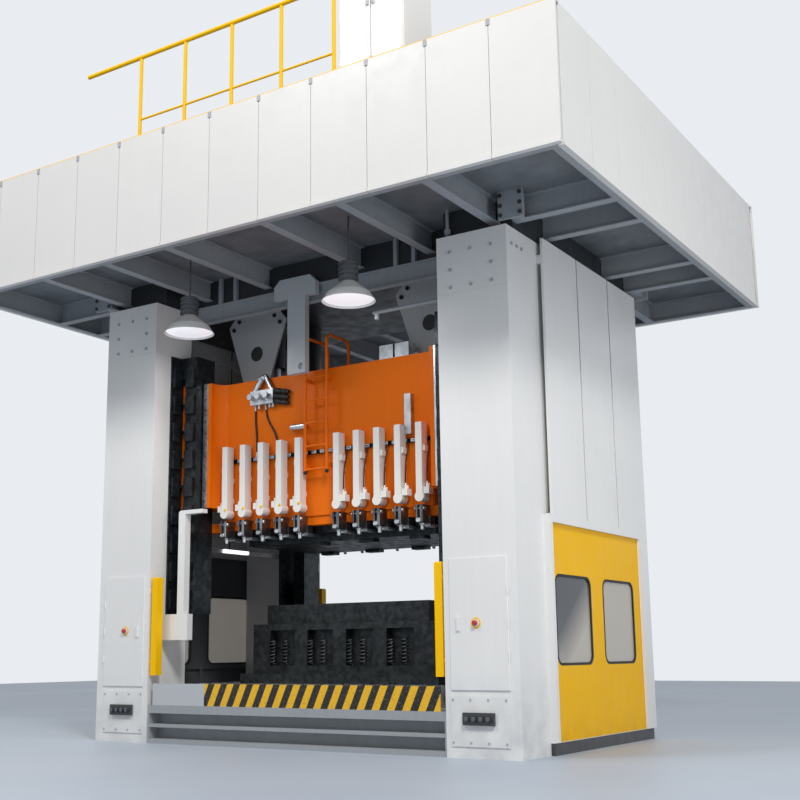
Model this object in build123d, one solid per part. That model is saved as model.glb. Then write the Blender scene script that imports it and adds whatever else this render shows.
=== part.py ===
"""Four-point straight-side mechanical press, standing on the floor.

Millimetres. X runs from left to right as seen from the front, Y from the front to the back,
Z up. The origin is the middle of the footprint at floor level. The slide is at the top of
its stroke.
"""

from build123d import *
from math import asin, atan2, cos, hypot, pi, radians, sin, tan
import os

# Frame
WINDOW = 4350.0
UPRIGHT_W = 890.0
UPRIGHT_D = 700.0
FRAME_D = 3760.0
UPRIGHT_H = 5760.0
HEAD_H = 682.0
WALL = 30.0
BASE_T = 60.0
STRIP_D = 300.0
RAIL_SEAT = 90.0
INNER = WINDOW / 2
OUTER = INNER + UPRIGHT_W
HALF_D = FRAME_D / 2
UPRIGHT_BACK = HALF_D - UPRIGHT_D
HEAD_Z = UPRIGHT_H - HEAD_H
HEAD_BOLT_X = 261.0
HEAD_BOLT_Z = 210.0
HEAD_BOLT_LOW = 67.0
HEAD_BOLT_IN = 8.0
HEAD_SEAM = 6.0
ANCHOR_X = INNER + 245.0
ANCHOR_Y = UPRIGHT_BACK + 120.0
ANCHOR_R = 30.0

# Bed and bolster
BED_H = 470.0
BED_SETBACK = 20.0
BED_PLATE = 100.0
BED_POCKET = 180.0
BED_CELLS = 4
BOLSTER_W = WINDOW - 350.0
BOLSTER_SETBACK = 780.0
BOLSTER_D = FRAME_D - 2 * BOLSTER_SETBACK
BOLSTER_H = 250.0
SLOT_PITCH = 300.0
SLOT_NECK = 28.0
SLOT_HEAD = 50.0
SLOT_NECK_H = 34.0
SLOT_HEAD_H = 22.0
BOLSTER_TOP = BED_H + BOLSTER_H

# Crown
CROWN_H = 2140.0
CROWN_FLOOR = 60.0
CROWN_WALL = 40.0
CROWN_SETBACK = 600.0
CROWN_HALF_D = HALF_D - CROWN_SETBACK
CROWN_END_SETBACK = 180.0
CROWN_END_D = HALF_D - CROWN_END_SETBACK
COVER_T = 40.0
CROWN_TOP = UPRIGHT_H + CROWN_H

# Four points and the drive
STROKE = 700.0
POINT_X = WINDOW / 2 - 789.0
POINT_Y = 430.0
PLUNGER_R = 170.7
RUN_GAP = 0.3
SLEEVE_R = 230.0
SLEEVE_Z = UPRIGHT_H - 760.0
SLEEVE_TOP = UPRIGHT_H + 140.0
WRIST_Z = SLEEVE_TOP
WRIST_R = 60.0
AXIS_Z = UPRIGHT_H + 1070.0
ECC_R = 480.0
SHAFT_R = 100.0
ROD_RIM = 110.0
ROD_T = 200.0
GEAR_TEETH = 42
PINION_TEETH = 12
TOOTH_SHARE = 0.22
TOOTH_FLANK = 0.36
GEAR_T = 240.0
PINION_ANGLE = 125.0
DRIVE_R = 60.0
FLYWHEEL_R = 650.0
FLYWHEEL_T = 220.0
FLYWHEEL_Y = CROWN_HALF_D + 140.0
BELT_W = 140.0
BELT_T = 16.0
MOTOR_X = 650.0
MOTOR_R = 250.0
MOTOR_L = 640.0
MOTOR_LIFT = 310.0
PULLEY_R = 150.0
BALANCER_X = WINDOW / 2 - 375.0
BALANCER_R = 290.0
BALANCER_Z = UPRIGHT_H - 960.0
BALANCER_WALL = 40.0
BALANCE_ROD_R = 60.0
PISTON_H = 100.0

# Slide and its guides
SLIDE_W = WINDOW - 350.0
SLIDE_SETBACK = 840.0
SLIDE_D = FRAME_D - 2 * SLIDE_SETBACK
SLIDE_DROP = 3070.0
SLIDE_Z = UPRIGHT_H - SLIDE_DROP
SLIDE_H = 2000.0
SLIDE_FOOT_H = 115.0
SLIDE_FOOT_W = SLIDE_W - 96.0
SLIDE_NECK_H = 195.0
SLIDE_NECK_W = SLIDE_W - 800.0
SLIDE_WALL = 50.0
SLIDE_CELLS = 6
FACE_T = 20.0
WING_OUT = SLIDE_W / 2 - 240.0
WING_FLANGE = 60.0
WING_COVE = 110.0
WING_PROUD = 240.0
WEAR_STRIP_W = 80.0
WEAR_STRIP_D = 80.0
FACE_W = 2 * (WING_OUT - WING_FLANGE - WING_COVE)
EAR_IN = 50.0
EAR_OUT = 150.0
EAR_D = 200.0
EAR_PROUD = 305.0
GUIDE_GAP = 0.5
RAIL_DROP = 1080.0
RAIL_INNER_W = 190.0
RAIL_Z0 = SLIDE_Z - RAIL_DROP
RAIL_Z1 = HEAD_Z - 18.0
RAIL_BRIDGE_T = 60.0
RAIL_BRIDGE_H = 30.0
RAIL_BRIDGES = 6
RAIL_END_H = 560.0
RAIL_CAP_H = 290.0
ADJUSTER_H = 250.0
ADJUSTER_D = 42.0
SLIDE_TOP = SLIDE_Z + SLIDE_H
SLIDE_FRONT = SLIDE_D / 2
NECK_TOP = SLIDE_Z + SLIDE_FOOT_H + SLIDE_NECK_H

# Ladder on the slide
LADDER_X = -45.0
LADDER_W = 336.0
LADDER_STANDOFF = 110.0
LADDER_Z0 = SLIDE_Z + 640.0
LADDER_Z1 = SLIDE_TOP + 428.0
LADDER_TUBE = 21.0
RUNG_Z0 = LADDER_Z0 + 50.0
RUNG_PITCH = 300.0
RUNG_R = 14.0
RUNGS = 5
HOOP_D = 500.0
HOOP_BEND = 90.0

# Clamps and their chain magazines
MAGAZINE_W = 90.0
MAGAZINE_CLEAR = 30.0
CLAMPS_A_SIDE = int((FACE_W / 2 - MAGAZINE_W / 2 - MAGAZINE_CLEAR) // SLOT_PITCH)
MAGAZINE_D = 140.0
MAGAZINE_Z0 = SLIDE_Z + 170.0
MAGAZINE_Z1 = SLIDE_Z + 1110.0
MAGAZINE_GAP = 30.0
MAGAZINE_BEND = 25.0
SPROCKET_R = 62.0
SPROCKET_Z = SLIDE_Z + 215.0
CHAIN_MOTOR = 80.0
CHAIN_MOTOR_Z = SLIDE_Z + 285.0
CLAMP_W = 120.0
CLAMP_D = 170.0
CLAMP_H = 130.0
CLAMP_TRAVEL = 150.0
CLAMP_HEAD_W = 96.0
CLAMP_HEAD_Z0 = SLIDE_Z - 100.0
CLAMP_HEAD_Z1 = SLIDE_Z + 118.0
CLAMP_HEAD_D = 170.0
CLAMP_SLOT_D = 60.0
CLAMP_PIN_R = 20.0
CLAMP_PIN_GAP = 4.0
CLAMP_STEM_Y = 90.0
CLAMP_STEM_L = 50.0
CLAMP_KNOB_R = 24.0
CLAMP_KNOB_H = 30.0
HOSE_RAIL_Z = SLIDE_Z + 900.0
HOSE_RAIL = 50.0
HOSE_RAIL_D = 25.0
HOSE_R = 13.0
VALVE_X = -950.0
VALVE_UP = 1735.0
VALVE_Z = SLIDE_Z + VALVE_UP
VALVE_W = 380.0
VALVE_H = 190.0
VALVE_D = 90.0
TANK_R = 40.0
TANK_X = (-480.0, -240.0)
TANK_Z = SLIDE_Z + 1275.0
SCALE_Z = (SLIDE_Z + 1000.0, SLIDE_Z + 1500.0)
SCALE_X = 1250.0
PUMP_X = (800.0, 1300.0)
PUMP_Y = 40.0 - SLIDE_D / 2
PUMP_D = 230.0
PUMP_H = 210.0

# Die set
DIE_SHOE_H = 90.0
UPPER_DIE_W = SLIDE_NECK_W
UPPER_DIE_IN = 140.0
UPPER_DIE_D = SLIDE_D - 2 * UPPER_DIE_IN
UPPER_DIE_H = 190.0
LOWER_DIE_IN = (500.0, 250.0)
LOWER_DIE_W = BOLSTER_W - 2 * LOWER_DIE_IN[0]
LOWER_DIE_D = BOLSTER_D - 2 * LOWER_DIE_IN[1]
LOWER_DIE_H = 1000.0

# Side doors and cladding
SHEET_T = 4.0
DOOR_INSET = (10.0, 360.0)
DOOR_Y0 = DOOR_INSET[0] - UPRIGHT_BACK
DOOR_Y1 = HALF_D - DOOR_INSET[1]
DOOR_Z0 = 136.0
DOOR_Z1 = 2506.0
DOOR_GAP = 7.0
DOOR_T = 40.0
DOOR_RAIL = 60.0
PANE_NEAR = 115.0
PANE_FAR = 225.0
PANE_BETWEEN = 350.0
PANE = (DOOR_Y1 - DOOR_Y0 - PANE_NEAR - PANE_FAR - PANE_BETWEEN) / 2
PANE_R = 120.0
PANE_Z = 1440.0
PANE_Y = (DOOR_Y0 + PANE_NEAR + PANE / 2, DOOR_Y1 - PANE_FAR - PANE / 2)
GASKET_W = 28.0
GASKET_PROUD = 3.0
GLASS_T = 12.0
PANEL_T = 30.0
PANEL_OUT = 85.0
PANEL_INSET = (60.0, 90.0)
PANEL_Y0 = PANEL_INSET[0] - UPRIGHT_BACK
PANEL_Y1 = HALF_D - PANEL_INSET[1]
PANEL_Z1 = UPRIGHT_H + 40.0
PANELS_A_SIDE = 3
PANEL_GAP = 30.0
HEADER_H = 84.0
TOP_RAIL_Z = PANEL_Z1 - 300.0
TOP_RAIL_H = 100.0
CORNER_STRIP_D = 240.0

# Access doors, base covers and sockets on the front uprights
ACCESS_W = 700.0
ACCESS_X = 75.0
ACCESS_Z0 = 700.0
ACCESS_Z1 = 2086.0
ACCESS_T = 15.0
ACCESS_FRAME = 40.0
HINGES = 3
HINGE_L = 90.0
HINGE_R = 9.0
BUTTON_Z = 1395.0
BUTTON_R = 30.0
BUTTON_STEM_R = 14.0
BUTTON_TRAVEL = 8.0
BASE_COVER_Z0 = 120.0
BASE_COVER_Z1 = 640.0
BASE_COVER_T = 12.0
SOCKETS = 4
SOCKET_PITCH = 85.0
SOCKET_Z = 405.0

# Platform round the crown
OVER_X = 1335.0
OVER_Y = 1490.0
PLATFORM_Z = UPRIGHT_H + 81.0
BEAM_H = 280.0
BEAM_W = 120.0
BEAM_T = 14.0
BEAM_X = (730.0, INNER - 415.0, OUTER - 215.0)
BEAM_Y = (CROWN_HALF_D - 390.0, HALF_D - 225.0)
EDGE_BEAM = 80.0
BRACKET_X = OUTER + 85.0
BRACKET_W = 300.0
BRACKET_GAP = 20.0
BRACKET_Y = HALF_D + BRACKET_GAP
BRACKET_T = 30.0
BRACKET_DROP = 50.0
DECK_T = 10.0
FASCIA_H = 1500.0
FASCIA_T = 24.0
FASCIA_LIP = 12.0
FASCIA_LIP_H = 40.0
FASCIA_RETURN = 60.0
FASCIA_GAP = 8.0
FASCIA_FRONT_PANELS = 12
FASCIA_SIDE_PANELS = 9
HANDRAIL_TUBE = 42.0
HANDRAIL_IN = 34.0
HALF_X = OUTER + OVER_X
HALF_Y = HALF_D + OVER_Y
FRAME_X = HALF_X - FASCIA_LIP - FASCIA_T - 30.0
FRAME_Y = HALF_Y - FASCIA_LIP - FASCIA_T - 30.0
DECK_Z = PLATFORM_Z + BEAM_H
DECK_TOP = DECK_Z + DECK_T

# Handrails, upper deck and cabinet
HANDRAIL_TOP = PLATFORM_Z + FASCIA_H + 71.0
RAIL_X = HALF_X - FASCIA_LIP - FASCIA_T - FASCIA_RETURN - HANDRAIL_IN
RAIL_Y = HALF_Y - FASCIA_LIP - FASCIA_T - FASCIA_RETURN - HANDRAIL_IN
UPPER_DECK_Z = PLATFORM_Z + FASCIA_H + 19.0
UPPER_DECK_T = 40.0
UPPER_DECK_X0 = -2300.0
UPPER_DECK_X1 = 2600.0
UPPER_DECK_D = 1300.0
UPPER_LEG = 80.0
UPPER_DECK_Y = -RAIL_Y + HANDRAIL_TUBE / 2 + 12.0
RAILING_X0 = -1310.0
RAILING_PITCH = 741.0
RAILING_POSTS = 5
RAILING_OVERHANG = 946.0
RAILING_TOP = UPPER_DECK_Z + 1180.0
RAILING_LOW = UPPER_DECK_Z + 305.0
RAILING_R = 27.0
RAILING_LOW_R = 14.0
CABINET_W = 840.0
CABINET_D = 590.0
CABINET_H = 1500.0

# Fittings under the platform
FRONT_BEAM_H = 247.0
FRONT_BEAM_D = 60.0
DUCT_X = -200.0
DUCT_W = 280.0
DUCT_SHIFT = 30.0
DUCT_D = 90.0
DUCT_Z0 = SLIDE_TOP - 105.0
DUCT_HEAD_W = 660.0
DUCT_HEAD_Z = UPRIGHT_H - 160.0
DUCT_HEAD_H = 265.0
DUCT_CHAMFER = 90.0
HANGER_Y = POINT_Y + 265.0
HANGER_T = 30.0
HANGER_TOP_W = 1000.0
HANGER_TIP_W = 430.0
HANGER_CHAMFER = 130.0
HANGER_Z = UPRIGHT_H - 1020.0
HANGER_HOLE_Z = UPRIGHT_H - 590.0
HANGER_BOLTS = ((95.0, 195.0), (190.0, 90.0))
HANGER_POSTS = (1250.0, 1510.0)
HANGER_POST = 50.0
HANGER_HOLE_R = 105.0
LAMP_X = 1224.0
LAMP_OUT = 400.0
LAMP_Y = -HALF_D - LAMP_OUT
LAMP_Z = PLATFORM_Z - 756.0
LAMP_R = 315.0
LAMP_SHADE_H = 230.0
LAMP_NECK_R = 90.0
LAMP_HOUSING_R = 120.0
LAMP_HOUSING_H = 240.0

# Guards in the window
GUARD_H = 265.0
GUARD_T = 16.0
CURTAIN_W = 96.0
CURTAIN_D = 110.0
CURTAIN_OFF = 29.0
CURTAIN_Z0 = 835.0
CURTAIN_Z1 = 2070.0
PROP_IN = 240.0
PROP_Y = HALF_D - PROP_IN
PROP_D = 100.0
PROP_HOLDER_Z0 = 1272.0
PROP_HOLDER_Z1 = 1600.0
PROP_HOLDER_X0 = INNER - 485.0
PROP_X0 = INNER - 418.0
PROP_W = 114.0
PROP_TOP = 2930.0
PROP_ARM_X0 = INNER - 705.0
PROP_ARM_H = 50.0
LIGHT_Z = 2505.0
LIGHT_BEAM = 60.0
LIGHT_Y = (-440.0, 80.0)
LIGHT_W = 50.0


def block(x0, x1, y0, y1, z0, z1):
    """A box between two corners."""
    middle = Pos((x0 + x1) / 2, (y0 + y1) / 2, (z0 + z1) / 2)
    return middle * Box(abs(x1 - x0), abs(y1 - y0), abs(z1 - z0))


def post(x, y, z0, z1, radius):
    """A vertical cylinder."""
    return Pos(x, y, (z0 + z1) / 2) * Cylinder(radius, z1 - z0)


def shaft(x, z, y0, y1, radius):
    """A cylinder along Y."""
    return Pos(x, (y0 + y1) / 2, z) * Rot(90, 0, 0) * Cylinder(radius, y1 - y0)


def bar(y, z, x0, x1, radius):
    """A cylinder along X."""
    return Pos((x0 + x1) / 2, y, z) * Rot(0, 90, 0) * Cylinder(radius, x1 - x0)


def plate(points, y0, y1):
    """A closed outline of (x, z) points, extruded along Y from y0 to y1."""
    outline = make_face(Polyline(*[(x, y0, z) for x, z in points], close=True))
    return extrude(outline, amount=y1 - y0, dir=(0, 1, 0))


def on_left(shape):
    """The same shape on the other side of the middle plane."""
    return mirror(shape, about=Plane.YZ)


def on_back(shape):
    """The same shape on the back of the press."""
    return mirror(shape, about=Plane.XZ)


def both_sides(shape):
    return [on_left(shape), shape]


def four_corners(shape):
    return [shape, on_left(shape), on_back(shape), on_left(on_back(shape))]


def hexagon_head(x, y, z, across, height):
    """A hexagon bolt head whose top points to the front (-Y)."""
    turned = Pos(x, y - height / 2, z) * Rot(90, 0, 0)
    return turned * extrude(RegularPolygon(across / 2, 6, major_radius=False), height / 2, both=True)


def save(name, *shapes):
    """Writes one node with every solid of the given shapes."""
    solids = [solid for shape in shapes for solid in shape.solids()]
    export_step(Compound(solids), f"parts/{name}.step")


def t_slot(x, y0, y1, mouth, inward):
    """The space of one T-slot along Y, from its mouth inward (+1 up, -1 down)."""
    neck = mouth + inward * SLOT_NECK_H
    bottom = neck + inward * SLOT_HEAD_H
    narrow = block(x - SLOT_NECK / 2, x + SLOT_NECK / 2, y0, y1, mouth, neck)
    return narrow + block(x - SLOT_HEAD / 2, x + SLOT_HEAD / 2, y0, y1, neck, bottom)


# Frame


TIE_X = (INNER + RAIL_SEAT + OUTER) / 2
TIE_Y = HALF_D - UPRIGHT_D / 2
TIE_R = 90.0
TIE_NUT_R = 150.0
TIE_NUT_H = 160.0


def tie_holes(z0, z1):
    """Spaces for the four tie rods."""
    return Compound([solid for hole in four_corners(post(TIE_X, -TIE_Y, z0, z1, TIE_R + 2.0))
                     for solid in hole.solids()])


def upright(doorway):
    """A hollow welded upright: the front right one, with a seat for its guide rail."""
    front = -HALF_D
    back = -UPRIGHT_BACK
    body = block(INNER, OUTER, front, back, 0, HEAD_Z)
    body -= block(INNER, INNER + RAIL_SEAT, front + STRIP_D, back, RAIL_Z0, HEAD_Z)
    inside_x0 = INNER + RAIL_SEAT + WALL
    body -= block(inside_x0, OUTER - WALL, front + WALL, back - WALL, BASE_T, HEAD_Z - WALL)
    body -= post(ANCHOR_X, -ANCHOR_Y, 0, BASE_T, ANCHOR_R)
    if doorway:
        low = ACCESS_Z0 + ACCESS_FRAME
        high = ACCESS_Z1 - ACCESS_FRAME
        side = INNER + ACCESS_X + ACCESS_FRAME
        side = max(side, inside_x0)
        far = INNER + ACCESS_X + ACCESS_W - ACCESS_FRAME
        body -= block(side, far, front, front + WALL, low, high)
    return body - post(TIE_X, -TIE_Y, HEAD_Z - WALL, HEAD_Z, TIE_R + 2.0)


def head_block():
    """The block bolted between an upright and the crown, with its tie rod hole."""
    body = block(INNER, OUTER, -HALF_D, -UPRIGHT_BACK, HEAD_Z, UPRIGHT_H)
    body = chamfer(body.edges().group_by(Axis.Z)[0], HEAD_SEAM)
    return body - post(TIE_X, -TIE_Y, HEAD_Z, UPRIGHT_H, TIE_R + 2.0)


def tie_rod():
    """A tie rod with its nut in the foot of the upright and its nut on the crown."""
    low = BASE_T
    high = CROWN_TOP + COVER_T
    rod = post(TIE_X, -TIE_Y, low, high + TIE_NUT_H + 60.0, TIE_R)
    nut = extrude(RegularPolygon(TIE_NUT_R, 6, major_radius=False), TIE_NUT_H)
    nut -= Pos(0, 0, TIE_NUT_H / 2) * Cylinder(TIE_R, TIE_NUT_H)
    return [rod, Pos(TIE_X, -TIE_Y, low) * nut, Pos(TIE_X, -TIE_Y, high) * nut]


def bed():
    """The bed between the uprights: a box with a stepped front, closed cells inside."""
    half = HALF_D - BED_SETBACK
    body = block(-INNER, INNER, -half, half, 0, BED_H)
    top = BED_H - BED_PLATE
    rib = 200.0
    rib_t = 40.0
    foot = 60.0
    for y0, y1 in ((-half, -half + BED_POCKET), (half - BED_POCKET, half)):
        body -= block(-INNER + WALL, INNER - WALL, y0, y1, rib + rib_t, top)
        body -= block(-INNER + WALL, INNER - WALL, y0, y1, foot, rib)
    cell = (2 * INNER - WALL * 2) / BED_CELLS
    for index in range(BED_CELLS):
        x0 = -INNER + WALL + index * cell + WALL / 2
        for y0, y1 in ((-half + BED_POCKET + WALL, -WALL), (WALL, half - BED_POCKET - WALL)):
            body -= block(x0, x0 + cell - WALL, y0, y1, foot, top)
    return body


def bolster():
    """The bolster with T-slots from front to back and its lifting holes."""
    half_w = BOLSTER_W / 2
    half_d = BOLSTER_D / 2
    body = block(-half_w, half_w, -half_d, half_d, BED_H, BOLSTER_TOP)
    slots = int((half_w - SLOT_HEAD) // SLOT_PITCH)
    for index in range(-slots, slots + 1):
        body -= t_slot(index * SLOT_PITCH, -half_d, half_d, BOLSTER_TOP, -1)
    for x in (-half_w + 400.0, half_w - 400.0):
        for side in (-1, 1):
            edge = side * half_d
            body -= shaft(x, BED_H + BOLSTER_H / 3, min(edge, edge - side * 120.0),
                          max(edge, edge - side * 120.0), 40.0)
    return body


def crown_plan(grow, z0, z1):
    """The crown's plan as a solid, grown or shrunk by a wall: wide over the uprights."""
    middle = block(-OUTER - grow, OUTER + grow, -CROWN_HALF_D - grow, CROWN_HALF_D + grow, z0, z1)
    reach = CROWN_END_D + grow
    ends = block(INNER - grow, OUTER + grow, -reach, reach, z0, z1)
    return middle + ends + on_left(ends)


def crown():
    """The crown: an open-topped welded box with plunger sleeves and shaft bearings."""
    body = crown_plan(0, UPRIGHT_H, CROWN_TOP)
    body -= crown_plan(-CROWN_WALL, UPRIGHT_H + CROWN_FLOOR, CROWN_TOP)
    sleeve = post(POINT_X, -POINT_Y, SLEEVE_Z, SLEEVE_TOP, SLEEVE_R)
    bore = post(POINT_X, -POINT_Y, SLEEVE_Z, SLEEVE_TOP, PLUNGER_R + RUN_GAP)
    for solid in four_corners(sleeve):
        body += solid
    for solid in four_corners(bore):
        body -= solid
    for x, z, radius in bearings():
        boss = shaft(x, z, -CROWN_HALF_D, -CROWN_HALF_D + 140.0, radius + 60.0)
        body += boss
        body += on_back(boss)
        body -= shaft(x, z, -CROWN_HALF_D, CROWN_HALF_D, radius + RUN_GAP)
    return body - tie_holes(UPRIGHT_H, UPRIGHT_H + CROWN_FLOOR)


def crown_cover():
    """The plate on the crown, with the tie rod holes."""
    return crown_plan(0, CROWN_TOP, CROWN_TOP + COVER_T) - tie_holes(CROWN_TOP, CROWN_TOP + COVER_T)


# Drive


GEAR_R = POINT_X / 2
MODULE = 2 * GEAR_R / GEAR_TEETH
PINION_R = MODULE * PINION_TEETH / 2
TOP_Z = AXIS_Z + STROKE / 2
PINION_X = (GEAR_R + PINION_R) * cos(radians(PINION_ANGLE))
PINION_Z = AXIS_Z + (GEAR_R + PINION_R) * sin(radians(PINION_ANGLE))
MOTOR_Z = CROWN_TOP + COVER_T + MOTOR_LIFT


def bearings():
    """Axis and radius of each shaft that runs in the crown's walls."""
    gears = [(x, AXIS_Z, SHAFT_R) for x in (-POINT_X, 0.0, POINT_X)]
    return gears + [(PINION_X, PINION_Z, DRIVE_R)]


def toothed_wheel(teeth, turn, thickness):
    """A straight-flanked spur gear about the Y axis, with one tooth at the turn angle."""
    pitch_r = MODULE * teeth / 2
    pitch = radians(360.0 / teeth)
    points = []
    for index in range(teeth):
        middle = radians(turn) + index * pitch
        for side, depth in ((-1, -1.0), (-1, 0.8), (1, 0.8), (1, -1.0)):
            radius = pitch_r + depth * MODULE
            half_width = TOOTH_SHARE * pitch * pitch_r - depth * MODULE * TOOTH_FLANK
            angle = middle + side * half_width / radius
            points.append((radius * cos(angle), radius * sin(angle)))
    return plate(points, -thickness / 2, thickness / 2)


def meshing_turn(direction, turn, teeth, other):
    """Turn angle of the next wheel so that its teeth fill this wheel's gaps."""
    return direction + 180.0 + teeth / other * (direction - turn) + 180.0 / other


def centre_gear():
    """The gear between the two eccentric gears, with its shaft."""
    gear = toothed_wheel(GEAR_TEETH, 0.0, GEAR_T)
    for index in range(6):
        angle = radians(60.0 * index)
        gear -= shaft(400.0 * cos(angle), 400.0 * sin(angle), -GEAR_T, GEAR_T, 120.0)
    gear += shaft(0, 0, -CROWN_HALF_D, CROWN_HALF_D, SHAFT_R)
    return Pos(0, 0, AXIS_Z) * gear


def eccentric_gear():
    """The right eccentric gear: a gear, an eccentric on each side and their shaft."""
    turn = meshing_turn(0.0, 0.0, GEAR_TEETH, GEAR_TEETH)
    gear = toothed_wheel(GEAR_TEETH, turn, GEAR_T)
    half = ROD_T / 2 + 10.0
    eccentric = shaft(0, STROKE / 2, -POINT_Y - half, -GEAR_T / 2, ECC_R)
    gear += eccentric
    gear += on_back(eccentric)
    gear += shaft(0, 0, -CROWN_HALF_D, CROWN_HALF_D, SHAFT_R)
    return Pos(POINT_X, 0, AXIS_Z) * gear


def drive_shaft():
    """The pinion shaft, which carries the flywheel outside the back wall."""
    turn = meshing_turn(PINION_ANGLE, 0.0, GEAR_TEETH, PINION_TEETH)
    wheel = toothed_wheel(PINION_TEETH, turn, GEAR_T)
    wheel += shaft(0, 0, -CROWN_HALF_D, FLYWHEEL_Y + FLYWHEEL_T + 60.0, DRIVE_R)
    return Pos(PINION_X, 0, PINION_Z) * wheel


def flywheel():
    """The flywheel on the drive shaft: rim, web with holes and a hub."""
    y0 = FLYWHEEL_Y
    y1 = FLYWHEEL_Y + FLYWHEEL_T
    wheel = shaft(0, 0, y0, y1, FLYWHEEL_R)
    recess_r = FLYWHEEL_R - 110.0
    hub_r = 170.0
    for a, b in ((y0, y0 + 70.0), (y1 - 70.0, y1)):
        wheel -= shaft(0, 0, a, b, recess_r) - shaft(0, 0, a, b, hub_r)
    for index in range(6):
        angle = radians(60.0 * index)
        wheel -= shaft(355.0 * cos(angle), 355.0 * sin(angle), y0, y1, 90.0)
    wheel -= shaft(0, 0, y0, y1, DRIVE_R + RUN_GAP)
    return Pos(PINION_X, 0, PINION_Z) * wheel


def motor_pulley():
    """The pulley with its stub in the motor."""
    y0 = FLYWHEEL_Y
    wheel = shaft(MOTOR_X, MOTOR_Z, y0, y0 + FLYWHEEL_T, PULLEY_R)
    return wheel + shaft(MOTOR_X, MOTOR_Z, CROWN_HALF_D, y0, 35.0)


def main_motor():
    """The main motor on its foot, with its terminal box and a hole for the shaft."""
    y1 = CROWN_HALF_D + 80.0
    y0 = y1 - MOTOR_L
    base = CROWN_TOP + COVER_T
    body = shaft(MOTOR_X, MOTOR_Z, y0, y1, MOTOR_R)
    body += shaft(MOTOR_X, MOTOR_Z, y0 - 110.0, y0, MOTOR_R - 40.0)
    body += block(MOTOR_X - 230.0, MOTOR_X + 230.0, y0 + 60.0, y1 - 120.0, base, MOTOR_Z - 120.0)
    body += block(MOTOR_X - 290.0, MOTOR_X + 290.0, y0 + 60.0, y1 - 120.0, base, base + 40.0)
    body += block(MOTOR_X + 100.0, MOTOR_X + 350.0, y0 + 150.0, y1 - 250.0, MOTOR_Z, MOTOR_Z + 220.0)
    return body - shaft(MOTOR_X, MOTOR_Z, y1 - 90.0, y1, 35.0 + RUN_GAP)


def belt_space(offset, y0, y1):
    """Pulley, flywheel and the space between their outer tangents, grown by an offset."""
    big = FLYWHEEL_R + offset
    small = PULLEY_R + offset
    dx = MOTOR_X - PINION_X
    dz = MOTOR_Z - PINION_Z
    along = atan2(dz, dx)
    lean = asin((big - small) / hypot(dx, dz))
    corners = []
    for side in (1, -1):
        angle = along + side * (radians(90.0) - lean)
        ends = [(PINION_X + big * cos(angle), PINION_Z + big * sin(angle)),
                (MOTOR_X + small * cos(angle), MOTOR_Z + small * sin(angle))]
        corners += ends if side == 1 else ends[::-1]
    body = plate(corners, y0, y1)
    body += shaft(PINION_X, PINION_Z, y0, y1, big)
    return body + shaft(MOTOR_X, MOTOR_Z, y0, y1, small)


def drive_belts():
    """The banded belt round the pulley and the flywheel."""
    y0 = FLYWHEEL_Y + (FLYWHEEL_T - BELT_W) / 2
    y1 = y0 + BELT_W
    return belt_space(RUN_GAP + BELT_T, y0, y1) - belt_space(RUN_GAP, y0, y1)


def connecting_rod():
    """The front right connecting rod at the top of the stroke, with its wrist pin."""
    y0 = -POINT_Y - ROD_T / 2
    y1 = -POINT_Y + ROD_T / 2
    small_r = WRIST_R + 35.0
    big_r = ECC_R + ROD_RIM
    shank_top = TOP_Z - ECC_R - ROD_RIM / 2
    shank = [(-small_r, WRIST_Z), (small_r, WRIST_Z), (big_r * 0.55, shank_top),
             (-big_r * 0.55, shank_top)]
    body = plate(shank, y0, y1) + shaft(0, WRIST_Z, y0, y1, small_r)
    body += shaft(0, TOP_Z, y0, y1, big_r)
    body -= shaft(0, TOP_Z, y0, y1, ECC_R + RUN_GAP)
    body += shaft(0, WRIST_Z, -POINT_Y - 150.0, -POINT_Y + 150.0, WRIST_R)
    return Pos(POINT_X, 0, 0) * body


def plunger():
    """The front right plunger: its fork takes the wrist pin from above."""
    top = WRIST_Z + 150.0
    body = post(0, 0, SLIDE_TOP, top, PLUNGER_R)
    slot = ROD_T / 2 + 5.0
    seat = WRIST_R + 0.5
    body -= block(-PLUNGER_R, PLUNGER_R, -slot, slot, WRIST_Z - WRIST_R - 50.0, top)
    body -= block(-seat, seat, -PLUNGER_R, PLUNGER_R, WRIST_Z, top)
    body -= shaft(0, WRIST_Z, -PLUNGER_R, PLUNGER_R, seat)
    return Pos(POINT_X, -POINT_Y, 0) * body


def balance_cylinder():
    """A counterbalance cylinder that hangs from the crown."""
    body = post(BALANCER_X, 0, BALANCER_Z, UPRIGHT_H, BALANCER_R)
    body += post(BALANCER_X, 0, UPRIGHT_H - 50.0, UPRIGHT_H, BALANCER_R + 40.0)
    bore_z = BALANCER_Z + BALANCER_WALL
    body -= post(BALANCER_X, 0, bore_z, UPRIGHT_H, BALANCER_R - BALANCER_WALL)
    return body - post(BALANCER_X, 0, BALANCER_Z, bore_z, BALANCE_ROD_R + RUN_GAP)


def balance_rod():
    """The rod and piston between the slide and a counterbalance cylinder."""
    piston_z = BALANCER_Z + BALANCER_WALL + STROKE + 20.0
    rod = post(BALANCER_X, 0, SLIDE_TOP, piston_z, BALANCE_ROD_R)
    return rod + post(BALANCER_X, 0, piston_z, piston_z + PISTON_H,
                      BALANCER_R - BALANCER_WALL - RUN_GAP)


# Slide


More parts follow.
